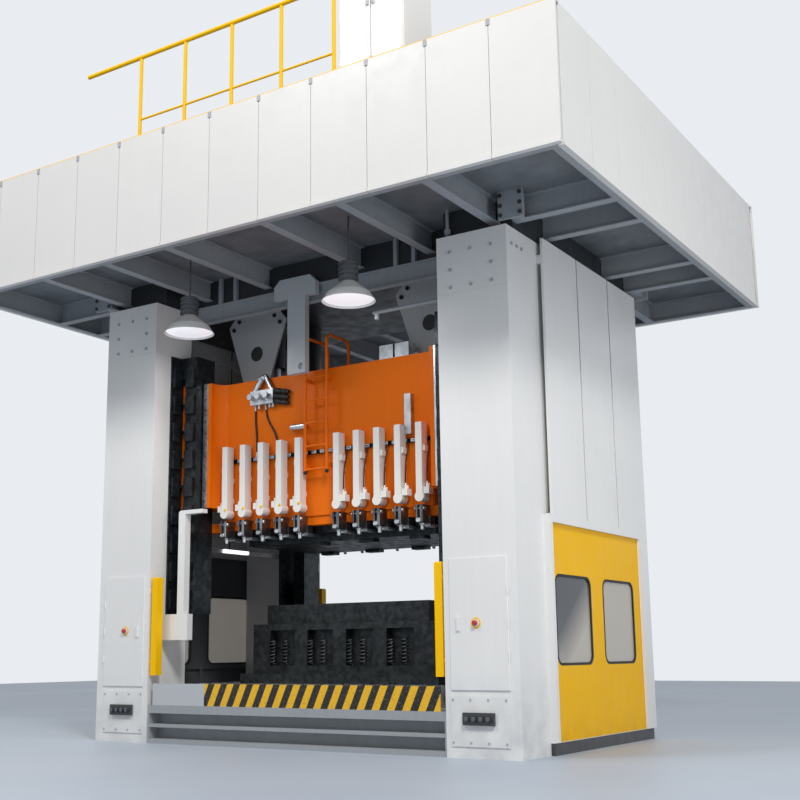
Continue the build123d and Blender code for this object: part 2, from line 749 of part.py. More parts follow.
def wing():
    """The front right wing: a cove that carries the face forward, and its front flange."""
    face_y = -SLIDE_FRONT - FACE_T
    front_y = -SLIDE_FRONT - WING_PROUD
    root_x = FACE_W / 2
    lean = radians(45.0)
    middle = (root_x + WING_COVE * sin(lean), face_y - (WING_PROUD - FACE_T) * (1 - cos(lean)))
    end = (root_x + WING_COVE, front_y)
    cove = ThreePointArc((root_x, face_y), middle, end)
    rest = Polyline(end, (WING_OUT, front_y), (WING_OUT, -SLIDE_FRONT), (root_x, -SLIDE_FRONT),
                    (root_x, face_y))
    return Pos(0, 0, NECK_TOP) * extrude(make_face(cove + rest), SLIDE_TOP - NECK_TOP)


def wear_strip():
    """The steel strip beside the front right wing."""
    front_y = -SLIDE_FRONT - WING_PROUD
    return block(WING_OUT, WING_OUT + WEAR_STRIP_W, front_y, front_y + WEAR_STRIP_D,
                 NECK_TOP, SLIDE_TOP)


def slide():
    """The slide: a ribbed box with a stepped foot, T-slots below, wings and guide ears."""
    half_w = SLIDE_W / 2
    foot_top = SLIDE_Z + SLIDE_FOOT_H
    body = block(-half_w, half_w, -SLIDE_FRONT, SLIDE_FRONT, NECK_TOP, SLIDE_TOP)
    body += block(-SLIDE_NECK_W / 2, SLIDE_NECK_W / 2, -SLIDE_FRONT, SLIDE_FRONT,
                  foot_top, NECK_TOP)
    body += block(-SLIDE_FOOT_W / 2, SLIDE_FOOT_W / 2, -SLIDE_FRONT, SLIDE_FRONT,
                  SLIDE_Z, foot_top)
    face = block(-FACE_W / 2, FACE_W / 2, -SLIDE_FRONT - FACE_T, -SLIDE_FRONT,
                 foot_top, SLIDE_TOP)
    body += face
    body += on_back(face)
    cell = (SLIDE_W - 2 * SLIDE_WALL) / SLIDE_CELLS
    inside = SLIDE_FRONT - SLIDE_WALL
    for index in range(SLIDE_CELLS):
        x0 = -half_w + SLIDE_WALL + index * cell + WALL / 2
        for y0, y1 in ((-inside, -WALL / 2), (WALL / 2, inside)):
            body -= block(x0, x0 + cell - WALL, y0, y1, NECK_TOP + SLIDE_WALL,
                          SLIDE_TOP - SLIDE_WALL)
    ear = block(half_w, half_w + EAR_OUT, -SLIDE_FRONT, -SLIDE_FRONT + EAR_D, NECK_TOP, SLIDE_TOP)
    ear += block(half_w + EAR_IN, half_w + EAR_OUT, -SLIDE_FRONT - EAR_PROUD, -SLIDE_FRONT,
                 NECK_TOP, SLIDE_TOP)
    for solid in four_corners(ear) + four_corners(wing()):
        body += solid
    for x in clamp_places():
        for y0, y1 in ((-SLIDE_FRONT, -SLIDE_FRONT + 500.0), (SLIDE_FRONT - 500.0, SLIDE_FRONT)):
            body -= t_slot(x, y0, y1, SLIDE_Z, 1)
    return body


def guide_rail():
    """The front right guide: two bars along the slide's ear, strapped together in front of it."""
    half_w = SLIDE_W / 2
    back = -UPRIGHT_BACK
    outer_x = half_w + EAR_OUT + GUIDE_GAP
    inner_x = half_w + EAR_IN - GUIDE_GAP
    inner_x0 = inner_x - RAIL_INNER_W
    strap_y = -SLIDE_FRONT - EAR_PROUD - GUIDE_GAP * 6
    front_y = strap_y - RAIL_BRIDGE_T
    rail = block(outer_x, INNER + RAIL_SEAT, -HALF_D + STRIP_D, back, RAIL_Z0, RAIL_Z1)
    rail += block(outer_x, INNER, back, -SLIDE_FRONT + EAR_D, RAIL_Z0, RAIL_Z1)
    rail += block(inner_x0, inner_x, front_y, -SLIDE_FRONT - GUIDE_GAP * 8, RAIL_Z0, RAIL_Z1)
    for z0, z1 in ((RAIL_Z0, RAIL_Z0 + RAIL_END_H), (RAIL_Z1 - RAIL_CAP_H, RAIL_Z1)):
        rail += block(inner_x, outer_x, front_y, strap_y, z0, z1)
    low = RAIL_Z0 + RAIL_END_H
    step = (RAIL_Z1 - RAIL_CAP_H - low) / (RAIL_BRIDGES + 1)
    for index in range(1, RAIL_BRIDGES + 1):
        z = low + index * step
        rail += block(inner_x, outer_x, front_y, strap_y, z, z + RAIL_BRIDGE_H)
    for index in range(RAIL_BRIDGES + 3):
        z = RAIL_Z0 + 60.0 + index * step
        rail += block(inner_x0 + 20.0, inner_x - 20.0, front_y - ADJUSTER_D, front_y, z, z + ADJUSTER_H)
        rail += block(outer_x - ADJUSTER_D, outer_x, -HALF_D + STRIP_D + 20.0, front_y - 20.0,
                      z, z + ADJUSTER_H)
    return rail


def ladder():
    """The slide's ladder: two stiles that bend back over the top, and its rungs."""
    y = -SLIDE_FRONT - FACE_T - LADDER_STANDOFF
    body = None
    for side in (-1, 1):
        x = LADDER_X + side * LADDER_W / 2
        path = FilletPolyline((x, y, LADDER_Z0), (x, y, LADDER_Z1), (x, y + HOOP_D, LADDER_Z1),
                              (x, y + HOOP_D, SLIDE_TOP), radius=HOOP_BEND)
        stile = sweep(Plane((x, y, LADDER_Z0)) * Circle(LADDER_TUBE), path)
        body = stile if body is None else body + stile
        for z in (LADDER_Z0 + 100.0, SLIDE_TOP - 140.0):
            body += block(x - 10.0, x + 10.0, y, -SLIDE_FRONT - FACE_T, z - 25.0, z + 25.0)
    for index in range(RUNGS):
        z = RUNG_Z0 + index * RUNG_PITCH
        body += bar(y, z, LADDER_X - LADDER_W / 2, LADDER_X + LADDER_W / 2, RUNG_R)
    return body


def clamp_places():
    """X of every clamp of one row, left and right of the ladder."""
    steps = [index * SLOT_PITCH for index in range(1, CLAMPS_A_SIDE + 1)]
    return [-x for x in reversed(steps)] + steps


def magazine(x):
    """A chain magazine on the slide's front face: a tube with its sprocket and its motor."""
    back = -SLIDE_FRONT - FACE_T - MAGAZINE_GAP
    front = back - MAGAZINE_D
    half = MAGAZINE_W / 2
    side = -1 if x < 0 else 1
    body = block(x - half, x + half, front, back, MAGAZINE_Z0, MAGAZINE_Z1)
    body = fillet(body.edges().filter_by(Axis.Z), 8.0)
    body += shaft(x, SPROCKET_Z, front, back, SPROCKET_R)
    motor = CHAIN_MOTOR / 2
    reach = x + side * (half + CHAIN_MOTOR)
    body += block(min(x, reach), max(x, reach), front + 20.0, back - 20.0,
                  CHAIN_MOTOR_Z - motor, CHAIN_MOTOR_Z + motor)
    body += post(x + side * (half + motor), (front + back) / 2, CHAIN_MOTOR_Z + motor,
                 CHAIN_MOTOR_Z + motor + 45.0, 28.0)
    bulge = (MAGAZINE_Z0 + MAGAZINE_Z1) / 2 + 120.0
    reach = x + side * (half + MAGAZINE_BEND)
    body += block(min(x, reach), max(x, reach), front + 30.0, back - 30.0, bulge, bulge + 70.0)
    for z in (SPROCKET_Z + 150.0, MAGAZINE_Z0 + 470.0):
        body += block(x - 30.0, x + 30.0, back, -SLIDE_FRONT - FACE_T, z, z + 60.0)
    return body


def clamp(x):
    """A travelling die clamp under the slide: its head hangs in front, its neck in the T-slot."""
    front = -SLIDE_FRONT - 40.0
    back = front + CLAMP_D
    top = SLIDE_Z - RUN_GAP
    half = CLAMP_W / 2
    body = block(x - half, x + half, front, back - 60.0, top - CLAMP_H, top)
    neck_w = SLOT_NECK / 2 - 1.0
    head_w = SLOT_HEAD / 2 - 2.0
    head_z = SLIDE_Z + SLOT_NECK_H + RUN_GAP
    neck_y = -SLIDE_FRONT + 5.0
    body += block(x - neck_w, x + neck_w, neck_y, back - 60.0, top, head_z)
    body += block(x - head_w, x + head_w, neck_y, back - 60.0, head_z,
                  SLIDE_Z + SLOT_NECK_H + SLOT_HEAD_H - 2.0)
    toe_top = SLIDE_Z - DIE_SHOE_H - RUN_GAP
    body += block(x - half + 20.0, x + half - 20.0, back - 60.0, back + 30.0,
                  top - CLAMP_H, toe_top)
    return body + clamp_head(x, front)


def clamp_head(x, back):
    """The head of a clamp: a chamfered housing with two lugs, a cylinder and a lower knob."""
    half = CLAMP_HEAD_W / 2
    front = back - CLAMP_HEAD_D
    back += 10.0
    housing = block(x - half, x + half, front, back, CLAMP_HEAD_Z0, CLAMP_HEAD_Z1)
    housing = chamfer(housing.edges().group_by(Axis.Y)[0], 14.0)
    housing -= block(x - 18.0, x + 18.0, front, front + CLAMP_SLOT_D, CLAMP_HEAD_Z0 + 60.0,
                     CLAMP_HEAD_Z1)
    pin_y = front + CLAMP_SLOT_D - CLAMP_PIN_GAP - CLAMP_PIN_R
    housing += bar(pin_y, CLAMP_HEAD_Z1 - 50.0, x - half - 14.0, x + half + 14.0, CLAMP_PIN_R)
    stem_y = front + CLAMP_STEM_Y
    stem_z = CLAMP_HEAD_Z0 - CLAMP_STEM_L
    housing += post(x, stem_y, stem_z, CLAMP_HEAD_Z0, CLAMP_KNOB_R + 2.0)
    knob = post(x, stem_y, stem_z - CLAMP_KNOB_H, stem_z, CLAMP_KNOB_R)
    return housing + fillet(knob.edges().group_by(Axis.Z)[0], CLAMP_KNOB_R * 0.6)


def slide_fittings():
    """Hose rail, valve block, oil tank, scale tube, pump unit and wear strips on the slide."""
    face = -SLIDE_FRONT - FACE_T
    end = FACE_W / 2
    rail = block(-end, end, face - HOSE_RAIL_D, face, HOSE_RAIL_Z, HOSE_RAIL_Z + HOSE_RAIL)
    front = face - VALVE_D
    half = VALVE_H / 2
    valve = block(VALVE_X - VALVE_W / 2, VALVE_X + VALVE_W / 2, front, face, VALVE_Z - half,
                  VALVE_Z + half)
    for index in range(-1, 2):
        valve += shaft(VALVE_X + index * VALVE_W / 3, VALVE_Z, front - 100.0, front, 40.0)
    for offset, lean, radius in ((-70.0, 35.0, 42.0), (90.0, -30.0, 36.0)):
        tube = Rot(0, lean, 0) * Cylinder(radius, VALVE_H + 60.0)
        valve += Pos(VALVE_X + offset, face - VALVE_D / 2, VALVE_Z + VALVE_H) * tube
    x0, x1 = TANK_X
    tank = bar(face - TANK_R - 10.0, TANK_Z, x0, x1, TANK_R)
    for x in (x0 + 40.0, x1 - 80.0):
        tank += block(x, x + 40.0, face - TANK_R, face, TANK_Z - 20.0, TANK_Z + 20.0)
    scale = block(SCALE_X, SCALE_X + MAGAZINE_W, face - 70.0, face, *SCALE_Z)
    return [rail, valve, tank, scale, pump_unit()] + four_corners(wear_strip())


def pump_unit():
    """The overload pump unit on the slide: two valve boxes and a reservoir on a base plate."""
    x0, x1 = PUMP_X
    y1 = PUMP_Y + PUMP_D
    base = SLIDE_TOP + 20.0
    unit = block(x0, x1, PUMP_Y, y1, SLIDE_TOP, base)
    width = (x1 - x0 - 100.0) / 2
    for x in (x0 + 10.0, x0 + 40.0 + width):
        case = block(x, x + width, PUMP_Y + 10.0, y1 - 60.0, base, SLIDE_TOP + PUMP_H)
        unit += chamfer(case.edges().group_by(Axis.Z)[-1], 12.0)
    return unit + bar(y1 - 35.0, base + 60.0, x0 + 20.0, x1 - 20.0, 30.0)


def bend_radii(points):
    """The largest arcs that the runs beside each corner leave room for."""
    radii = []
    for before, corner, after in zip(points, points[1:], points[2:]):
        first = corner - before
        second = after - corner
        turn = radians(first.get_angle(second))
        radii.append(0.45 * min(first.length, second.length) / tan(turn / 2))
    return radii


def hose(places):
    """A round hose along straight runs joined by tangent arcs."""
    points = [Vector(*place) for place in places]
    radii = bend_radii(points)
    path = FilletPolyline(*points, radius=radii)
    tube = sweep(Plane(points[0], z_dir=points[1] - points[0]) * Circle(HOSE_R), path)
    print("hose length", round(path.length), "bend radii", [round(radius) for radius in radii],
          "volume share", round(tube.volume / (path.length * pi * HOSE_R ** 2), 5))
    return tube


def clamp_hoses():
    """The two hoses from the valve block down to the rail."""
    middle = -SLIDE_FRONT - FACE_T - HOSE_R - 1.0
    top = VALVE_Z - VALVE_H / 2
    low = HOSE_RAIL_Z + HOSE_RAIL
    hoses = []
    for offset, swing in ((-155.0, 30.0), (20.0, 210.0)):
        x = VALVE_X + offset
        hoses.append(hose([(x, middle, top), (x, middle, top - 180.0),
                           (x + swing, middle, low + 240.0), (x + swing, middle, low)]))
    return hoses


def upper_die():
    """The upper die: its shoe under the slide and the punch plate with its pads."""
    shoe_z = SLIDE_Z - DIE_SHOE_H
    low = SLIDE_Z - UPPER_DIE_H
    half_w = UPPER_DIE_W / 2
    half_d = UPPER_DIE_D / 2
    body = block(-half_w, half_w, -half_d, half_d, shoe_z, SLIDE_Z)
    body += block(-half_w + 150.0, half_w - 150.0, -half_d + 150.0, half_d - 150.0, low, shoe_z)
    for x in (-1100.0, -350.0, 400.0, 1150.0):
        pad = block(x - 110.0, x + 110.0, -half_d + 190.0, -half_d + 330.0, low - 40.0, low)
        body += pad
        body += on_back(pad)
    return body


def lower_die():
    """The lower die on the bolster: shoe, body, binder and guide posts."""
    half_w = LOWER_DIE_W / 2
    half_d = LOWER_DIE_D / 2
    shoe = BOLSTER_TOP + 120.0
    top = BOLSTER_TOP + LOWER_DIE_H
    body = block(-half_w, half_w, -half_d, half_d, BOLSTER_TOP, shoe)
    body += block(-half_w + 120.0, half_w - 120.0, -half_d + 120.0, half_d - 120.0, shoe, top - 250.0)
    body += block(-half_w + 260.0, half_w - 260.0, -half_d + 240.0, half_d - 240.0, top - 250.0, top)
    for x in (-900.0, -300.0, 300.0, 900.0):
        pocket = block(x - 200.0, x + 200.0, -half_d + 120.0, -half_d + 240.0,
                       shoe + 100.0, top - 330.0)
        body -= pocket
        body -= on_back(pocket)
    return body


# Sides


def rounded_box(y, z, size, radius, x0, x1):
    """A rounded square pane or hole, square to X."""
    outline = Plane((x0, y, z), z_dir=(1, 0, 0)) * RectangleRounded(size, size, radius)
    return extrude(outline, x1 - x0)


def lift_door():
    """The right lift door: a sheet on a frame, with two window holes."""
    x0 = OUTER + DOOR_GAP
    x1 = x0 + DOOR_T
    door = block(x0, x1, DOOR_Y0, DOOR_Y1, DOOR_Z0, DOOR_Z1)
    middle = (DOOR_Y0 + DOOR_Y1) / 2
    sill_z = PANE_Z - PANE / 2 - DOOR_RAIL
    lintel_z = PANE_Z + PANE / 2 + DOOR_RAIL
    for y0, y1 in ((DOOR_Y0 + DOOR_RAIL, middle - DOOR_RAIL / 2),
                   (middle + DOOR_RAIL / 2, DOOR_Y1 - DOOR_RAIL)):
        door -= block(x0, x1 - SHEET_T, y0, y1, DOOR_Z0 + DOOR_RAIL, sill_z)
        door -= block(x0, x1 - SHEET_T, y0, y1, lintel_z, DOOR_Z1 - DOOR_RAIL)
    for y in PANE_Y:
        door -= rounded_box(y, PANE_Z, PANE, PANE_R, x0, x1)
    return door


def door_gaskets():
    """Rubber frames in the window holes, a little proud on both sides."""
    x0 = OUTER + DOOR_GAP - GASKET_PROUD
    x1 = OUTER + DOOR_GAP + DOOR_T + GASKET_PROUD
    frames = []
    for y in PANE_Y:
        frame = rounded_box(y, PANE_Z, PANE, PANE_R, x0, x1)
        inside = PANE - 2 * GASKET_W
        frames.append(frame - rounded_box(y, PANE_Z, inside, PANE_R - GASKET_W, x0, x1))
    return frames


def door_panes():
    """The two window panes of the right door."""
    x0 = OUTER + DOOR_GAP + (DOOR_T - GLASS_T) / 2
    inside = PANE - 2 * GASKET_W
    return [rounded_box(y, PANE_Z, inside, PANE_R - GASKET_W, x0, x0 + GLASS_T) for y in PANE_Y]


def door_frame():
    """The right door's track, post, header and sill."""
    lip_x0 = OUTER + PANEL_OUT - PANEL_T - 4.0
    lip_x1 = OUTER + PANEL_OUT
    high = DOOR_Z1 + HEADER_H
    jamb_y = DOOR_Y0 - 6.0
    sill_z = DOOR_Z0 - RUN_GAP
    lintel_z = DOOR_Z1 - 6.0
    jamb = block(OUTER, lip_x1, jamb_y - 20.0, jamb_y, sill_z, high)
    jamb += block(lip_x0, lip_x1, jamb_y, DOOR_Y0 + 40.0, sill_z, high)
    header = block(lip_x0, lip_x1, DOOR_Y0 + 40.0, PANEL_Y1, lintel_z, high)
    track = block(lip_x0, lip_x1, DOOR_Y1 - 20.0, PANEL_Y1, sill_z, lintel_z)
    track += block(OUTER, lip_x0, DOOR_Y1 + 20.0, PANEL_Y1, sill_z, lintel_z)
    sill = block(OUTER, OUTER + DOOR_GAP + DOOR_T, jamb_y - 20.0, PANEL_Y1, 0, sill_z)
    return [jamb, header, track, sill]


def side_panels():
    """The right side's cladding panels on their top rail."""
    x1 = OUTER + PANEL_OUT
    x0 = x1 - PANEL_T
    width = (PANEL_Y1 - PANEL_Y0 - PANEL_GAP * (PANELS_A_SIDE - 1)) / PANELS_A_SIDE
    panels = []
    for index in range(PANELS_A_SIDE):
        y0 = PANEL_Y0 + index * (width + PANEL_GAP)
        y1 = y0 + width
        z0 = DOOR_Z1 + HEADER_H
        edge = PANEL_T
        panel = block(x0, x1, y0, y1, z0, PANEL_Z1)
        panel -= block(x0, x1 - SHEET_T, y0 + edge, y1 - edge, z0 + edge, TOP_RAIL_Z - edge)
        panels.append(panel)
    rail = block(OUTER, x0, PANEL_Y0, PANEL_Y1, TOP_RAIL_Z, TOP_RAIL_Z + TOP_RAIL_H)
    corner = block(OUTER - PANEL_T, OUTER, -UPRIGHT_BACK, -UPRIGHT_BACK + CORNER_STRIP_D,
                   DOOR_Z1 + HEADER_H, UPRIGHT_H)
    return panels + [rail, corner]


# Front of the uprights


FRONT = -HALF_D
BASE_COVER_X0 = INNER + 65.0
BASE_COVER_X1 = OUTER - 135.0
SOCKET_X = (BASE_COVER_X0 + BASE_COVER_X1) / 2
BUTTON_X = (INNER + OUTER) / 2 - 50.0


def access_door():
    """The right access door on the upright's face: handle, button collar, hinge barrels."""
    x0 = INNER + ACCESS_X
    front = FRONT - GUIDE_GAP - ACCESS_T
    door = block(x0, x0 + ACCESS_W, front, FRONT - GUIDE_GAP, ACCESS_Z0, ACCESS_Z1)
    door = chamfer(door.edges().filter_by(Axis.Z).group_by(Axis.Y)[0], 4.0)
    edge = ACCESS_FRAME / 2
    door -= block(x0 + edge, x0 + ACCESS_W - edge, front + SHEET_T, FRONT - GUIDE_GAP,
                  ACCESS_Z0 + edge, ACCESS_Z1 - edge)
    door += block(x0 + 92.0, x0 + 120.0, front - 22.0, front, BUTTON_Z - 75.0, BUTTON_Z + 75.0)
    door += shaft(BUTTON_X, BUTTON_Z, front - 14.0, front, BUTTON_R + 12.0)
    for index in range(1, HINGES + 1):
        z = ACCESS_Z0 + index * (ACCESS_Z1 - ACCESS_Z0) / (HINGES + 1)
        door += post(x0 + ACCESS_W, front, z - HINGE_L / 2, z + HINGE_L / 2, HINGE_R)
    hole = BUTTON_STEM_R + RUN_GAP
    return door - shaft(BUTTON_X, BUTTON_Z, front - 14.0, FRONT, hole)


def stop_button():
    """The mushroom button in the access door."""
    collar = FRONT - GUIDE_GAP - ACCESS_T - 14.0
    cap_y = collar - BUTTON_TRAVEL - 2.0
    button = shaft(BUTTON_X, BUTTON_Z, cap_y, FRONT - GUIDE_GAP - ACCESS_T + 2.0, BUTTON_STEM_R)
    cap = shaft(BUTTON_X, BUTTON_Z, cap_y - 24.0, cap_y, BUTTON_R)
    return button + fillet(cap.edges().group_by(Axis.Y)[0], 12.0)


def base_cover():
    """The cover on the foot of the right upright and its strip of capped sockets."""
    cover = block(BASE_COVER_X0, BASE_COVER_X1, FRONT - BASE_COVER_T, FRONT,
                  BASE_COVER_Z0, BASE_COVER_Z1)
    half = SOCKET_PITCH * SOCKETS / 2 + 15.0
    front = FRONT - BASE_COVER_T
    strip = block(SOCKET_X - half, SOCKET_X + half, front - 40.0, front, SOCKET_Z - 65.0,
                  SOCKET_Z + 65.0)
    for index in range(SOCKETS):
        x = SOCKET_X + (index - (SOCKETS - 1) / 2) * SOCKET_PITCH
        strip += shaft(x, SOCKET_Z, front - 65.0, front - 40.0, 34.0)
        strip += shaft(x, SOCKET_Z, front - 75.0, front - 65.0, 26.0)
    return [cover, strip]


def bolts():
    """Bolt heads on the head blocks, base covers, hanger plates and platform brackets."""
    heads = []
    middle_x = (INNER + OUTER) / 2 - HEAD_BOLT_IN
    middle_z = HEAD_Z + HEAD_H / 2 - HEAD_BOLT_LOW
    for column in (-1, 0, 1):
        for row in (-1, 0, 1):
            if column or row:
                place = (middle_x + column * HEAD_BOLT_X, FRONT, middle_z + row * HEAD_BOLT_Z)
                heads += four_corners(hexagon_head(*place, 38.0, 14.0))
    side_head = Rot(0, 0, 90) * hexagon_head(0, 0, 0, 38.0, 14.0)
    for y in (FRONT + 118.0, FRONT + 243.0, FRONT + 368.0):
        heads += both_sides(Pos(OUTER, y, middle_z + HEAD_BOLT_Z) * side_head)
    span = BASE_COVER_X1 - BASE_COVER_X0 - 60.0
    for z in (BASE_COVER_Z0 + 40.0, BASE_COVER_Z1 - 40.0):
        for column in range(4):
            x = BASE_COVER_X0 + 30.0 + column * span / 3
            heads += both_sides(hexagon_head(x, FRONT - BASE_COVER_T, z, 22.0, 8.0))
    for inset, drop in HANGER_BOLTS:
        for side in (-1, 1):
            x = POINT_X + side * (HANGER_TOP_W / 2 - inset)
            head = hexagon_head(x, -HANGER_Y - HANGER_T / 2, UPRIGHT_H - drop, 50.0, 24.0)
            heads += both_sides(head)
    heads += both_sides(hanger_pin())
    for side in (-1, 1):
        x = BRACKET_X + side * (BRACKET_W / 2 - 30.0)
        for drop in (50.0, 170.0, 281.0):
            heads += four_corners(hexagon_head(x, -BRACKET_Y - BRACKET_T, DECK_Z - drop, 42.0, 20.0))
    return heads


def hanger_pin():
    """The pin in the right hanger plate's hole."""
    y0 = -HANGER_Y - HANGER_T / 2
    return shaft(POINT_X, HANGER_HOLE_Z, y0 + 6.0, y0 + HANGER_T + 15.0, HANGER_HOLE_R - RUN_GAP)


# Platform


def i_beam(x, y0, y1):
    """A cantilever beam along Y below the deck."""
    z1 = PLATFORM_Z + BEAM_H
    half = BEAM_W / 2
    beam = block(x - half, x + half, y0, y1, PLATFORM_Z, PLATFORM_Z + BEAM_T)
    beam += block(x - half, x + half, y0, y1, z1 - BEAM_T, z1)
    return beam + block(x - BEAM_T / 2, x + BEAM_T / 2, y0, y1, PLATFORM_Z, z1)


def edge_channel(half_length, outside):
    """A channel along X whose web is the platform's front edge."""
    z1 = PLATFORM_Z + BEAM_H
    channel = block(-half_length, half_length, -outside, -outside + EDGE_BEAM, PLATFORM_Z, z1)
    return channel - block(-half_length, half_length, -outside + BEAM_T, -outside + EDGE_BEAM,
                           PLATFORM_Z + BEAM_T, z1 - BEAM_T)


def platform_frame():
    """Edge channels and cantilever beams round the crown."""
    inner_x = FRAME_X - EDGE_BEAM
    inner_y = FRAME_Y - EDGE_BEAM
    front = edge_channel(FRAME_X, FRAME_Y)
    side = Rot(0, 0, 90) * edge_channel(inner_y, FRAME_X)
    beams = [front, on_back(front)] + both_sides(side)
    for x in BEAM_X:
        reach = CROWN_END_D if x > INNER else CROWN_HALF_D
        beams += four_corners(i_beam(x, -inner_y, -reach))
    for y in BEAM_Y:
        beams += four_corners(Rot(0, 0, 90) * i_beam(-y, OUTER, inner_x))
    return beams + four_corners(corner_bracket())


def corner_bracket():
    """The bolted bracket beside the right front upright, under the corner of the deck."""
    half = BRACKET_W / 2
    plate_y = -BRACKET_Y
    body = block(BRACKET_X - half, BRACKET_X + half, plate_y - BRACKET_T, plate_y,
                 PLATFORM_Z - BRACKET_DROP, DECK_Z)
    stub_y = -BEAM_Y[-1] - BEAM_W / 2
    return body + block(BRACKET_X - half / 2, BRACKET_X + half / 2, plate_y, stub_y,
                        PLATFORM_Z, DECK_Z)


def deck_plates():
    """The deck round the crown, in plates that meet on the beams."""
    front = block(-INNER, INNER, -FRAME_Y, -CROWN_HALF_D, DECK_Z, DECK_TOP)
    corner = block(INNER, OUTER, -FRAME_Y, -CROWN_END_D, DECK_Z, DECK_TOP)
    side = block(OUTER, FRAME_X, -FRAME_Y, FRAME_Y, DECK_Z, DECK_TOP)
    return [front, on_back(front)] + four_corners(corner) + both_sides(side)


def fascia_panel(x0, x1):
    """A front fascia panel: a sheet with a lip below and returns to the frame."""
    outer = -HALF_Y
    sheet = outer + FASCIA_LIP
    back = sheet + FASCIA_T
    z0 = PLATFORM_Z
    z1 = PLATFORM_Z + FASCIA_H
    panel = block(x0, x1, sheet, back, z0, z1)
    edge = FASCIA_T
    panel -= block(x0 + edge, x1 - edge, sheet + SHEET_T, back, z0 + edge, z1 - edge)
    panel += block(x0, x1, outer, sheet, z0, z0 + FASCIA_LIP_H)
    panel += block(x0, x1, back, -FRAME_Y, z0, z0 + FASCIA_T)
    return panel + block(x0, x1, back, back + FASCIA_RETURN, z1 - FASCIA_T, z1)


def fascia_row(half_length, count, place):
    """A row of panels along a side of the platform."""
    pitch = 2 * half_length / count
    panels = []
    for index in range(count):
        x0 = -half_length + index * pitch + (FASCIA_GAP / 2 if index else 0.0)
        x1 = -half_length + (index + 1) * pitch - (FASCIA_GAP / 2 if index < count - 1 else 0.0)
        panels.append(place(fascia_panel(x0, x1)))
    return panels


def side_place(shape):
    """Turns a front fascia panel to the right side of the platform."""
    return Pos(HALF_X - HALF_Y, 0, 0) * Rot(0, 0, 90) * shape


def fascia_clamps():
    """A small clamp over the top of every front and side fascia joint."""
    z1 = PLATFORM_Z + FASCIA_H
    clamps = []
    y0 = -HALF_Y + FASCIA_LIP
    pitch = 2 * HALF_X / FASCIA_FRONT_PANELS
    for index in range(1, FASCIA_FRONT_PANELS):
        x = -HALF_X + index * pitch
        clip = block(x - 20.0, x + 20.0, y0 - 8.0, y0, z1 - 70.0, z1)
        clamps += [clip, on_back(clip)]
    return clamps


def handrail():
    """The handrail just inside the fascia, whose top bar shows above it."""
    tube = HANDRAIL_TUBE / 2
    low = HANDRAIL_TOP - HANDRAIL_TUBE
    front = block(-RAIL_X - tube, RAIL_X + tube, -RAIL_Y - tube, -RAIL_Y + tube, low, HANDRAIL_TOP)
    side = block(RAIL_X - tube, RAIL_X + tube, -RAIL_Y + tube, RAIL_Y - tube, low, HANDRAIL_TOP)
    tubes = [front, on_back(front)] + both_sides(side)
    mid = (DECK_TOP + HANDRAIL_TOP) / 2 - tube
    places = [-RAIL_X + RAIL_X * index / 2 for index in range(5)]
    for x in places:
        leg = block(x - tube, x + tube, -RAIL_Y - tube, -RAIL_Y + tube, DECK_TOP, low)
        tubes += [leg, on_back(leg)]
    for x0, x1 in zip(places, places[1:]):
        knee = block(x0 + tube, x1 - tube, -RAIL_Y - tube, -RAIL_Y + tube, mid, mid + HANDRAIL_TUBE)
        tubes += [knee, on_back(knee)]
    places = [-RAIL_Y + RAIL_Y * index * 2 / 3 for index in range(4)]
    for y in places[1:-1]:
        tubes += both_sides(block(RAIL_X - tube, RAIL_X + tube, y - tube, y + tube, DECK_TOP, low))
    for y0, y1 in zip(places, places[1:]):
        tubes += both_sides(block(RAIL_X - tube, RAIL_X + tube, y0 + tube, y1 - tube, mid,
                                  mid + HANDRAIL_TUBE))
    return tubes


def upper_deck():
    """The raised deck in front of the crown, on legs."""
    y0 = UPPER_DECK_Y
    y1 = y0 + UPPER_DECK_D
    top = UPPER_DECK_Z + UPPER_DECK_T
    deck = [block(UPPER_DECK_X0, UPPER_DECK_X1, y0, y1, UPPER_DECK_Z, top)]
    middle = (UPPER_DECK_X0 + UPPER_DECK_X1 - UPPER_LEG) / 2
    for x in (UPPER_DECK_X0, middle, UPPER_DECK_X1 - UPPER_LEG):
        for y in (y0, y1 - UPPER_LEG):
            deck.append(block(x, x + UPPER_LEG, y, y + UPPER_LEG, DECK_TOP, UPPER_DECK_Z))
    return deck


def upper_railing():
    """The tall railing on the front edge of the raised deck."""
    y = UPPER_DECK_Y + RAILING_R + 5.0
    top = UPPER_DECK_Z + UPPER_DECK_T
    post_r = RAILING_R - 5.0
    last = RAILING_X0 + (RAILING_POSTS - 1) * RAILING_PITCH
    rails = [bar(y, RAILING_TOP - RAILING_R, RAILING_X0 - RAILING_OVERHANG, last + 30.0, RAILING_R)]
    for index in range(RAILING_POSTS):
        x = RAILING_X0 + index * RAILING_PITCH
        rails.append(post(x, y, top, RAILING_TOP - 2 * RAILING_R, post_r))
        if x < last:
            rails.append(bar(y, RAILING_LOW, x + post_r, x + RAILING_PITCH - post_r, RAILING_LOW_R))
    return rails


def top_cabinet():
    """The cabinet at the right end of the raised deck."""
    x0 = UPPER_DECK_X1 - CABINET_W - 10.0
    y0 = UPPER_DECK_Y + 5.0
    z0 = UPPER_DECK_Z + UPPER_DECK_T
    body = block(x0, x0 + CABINET_W, y0, y0 + CABINET_D, z0, z0 + CABINET_H)
    return body - block(x0 + SHEET_T, x0 + CABINET_W - SHEET_T, y0 + SHEET_T,
                        y0 + CABINET_D - SHEET_T, z0, z0 + CABINET_H - SHEET_T)


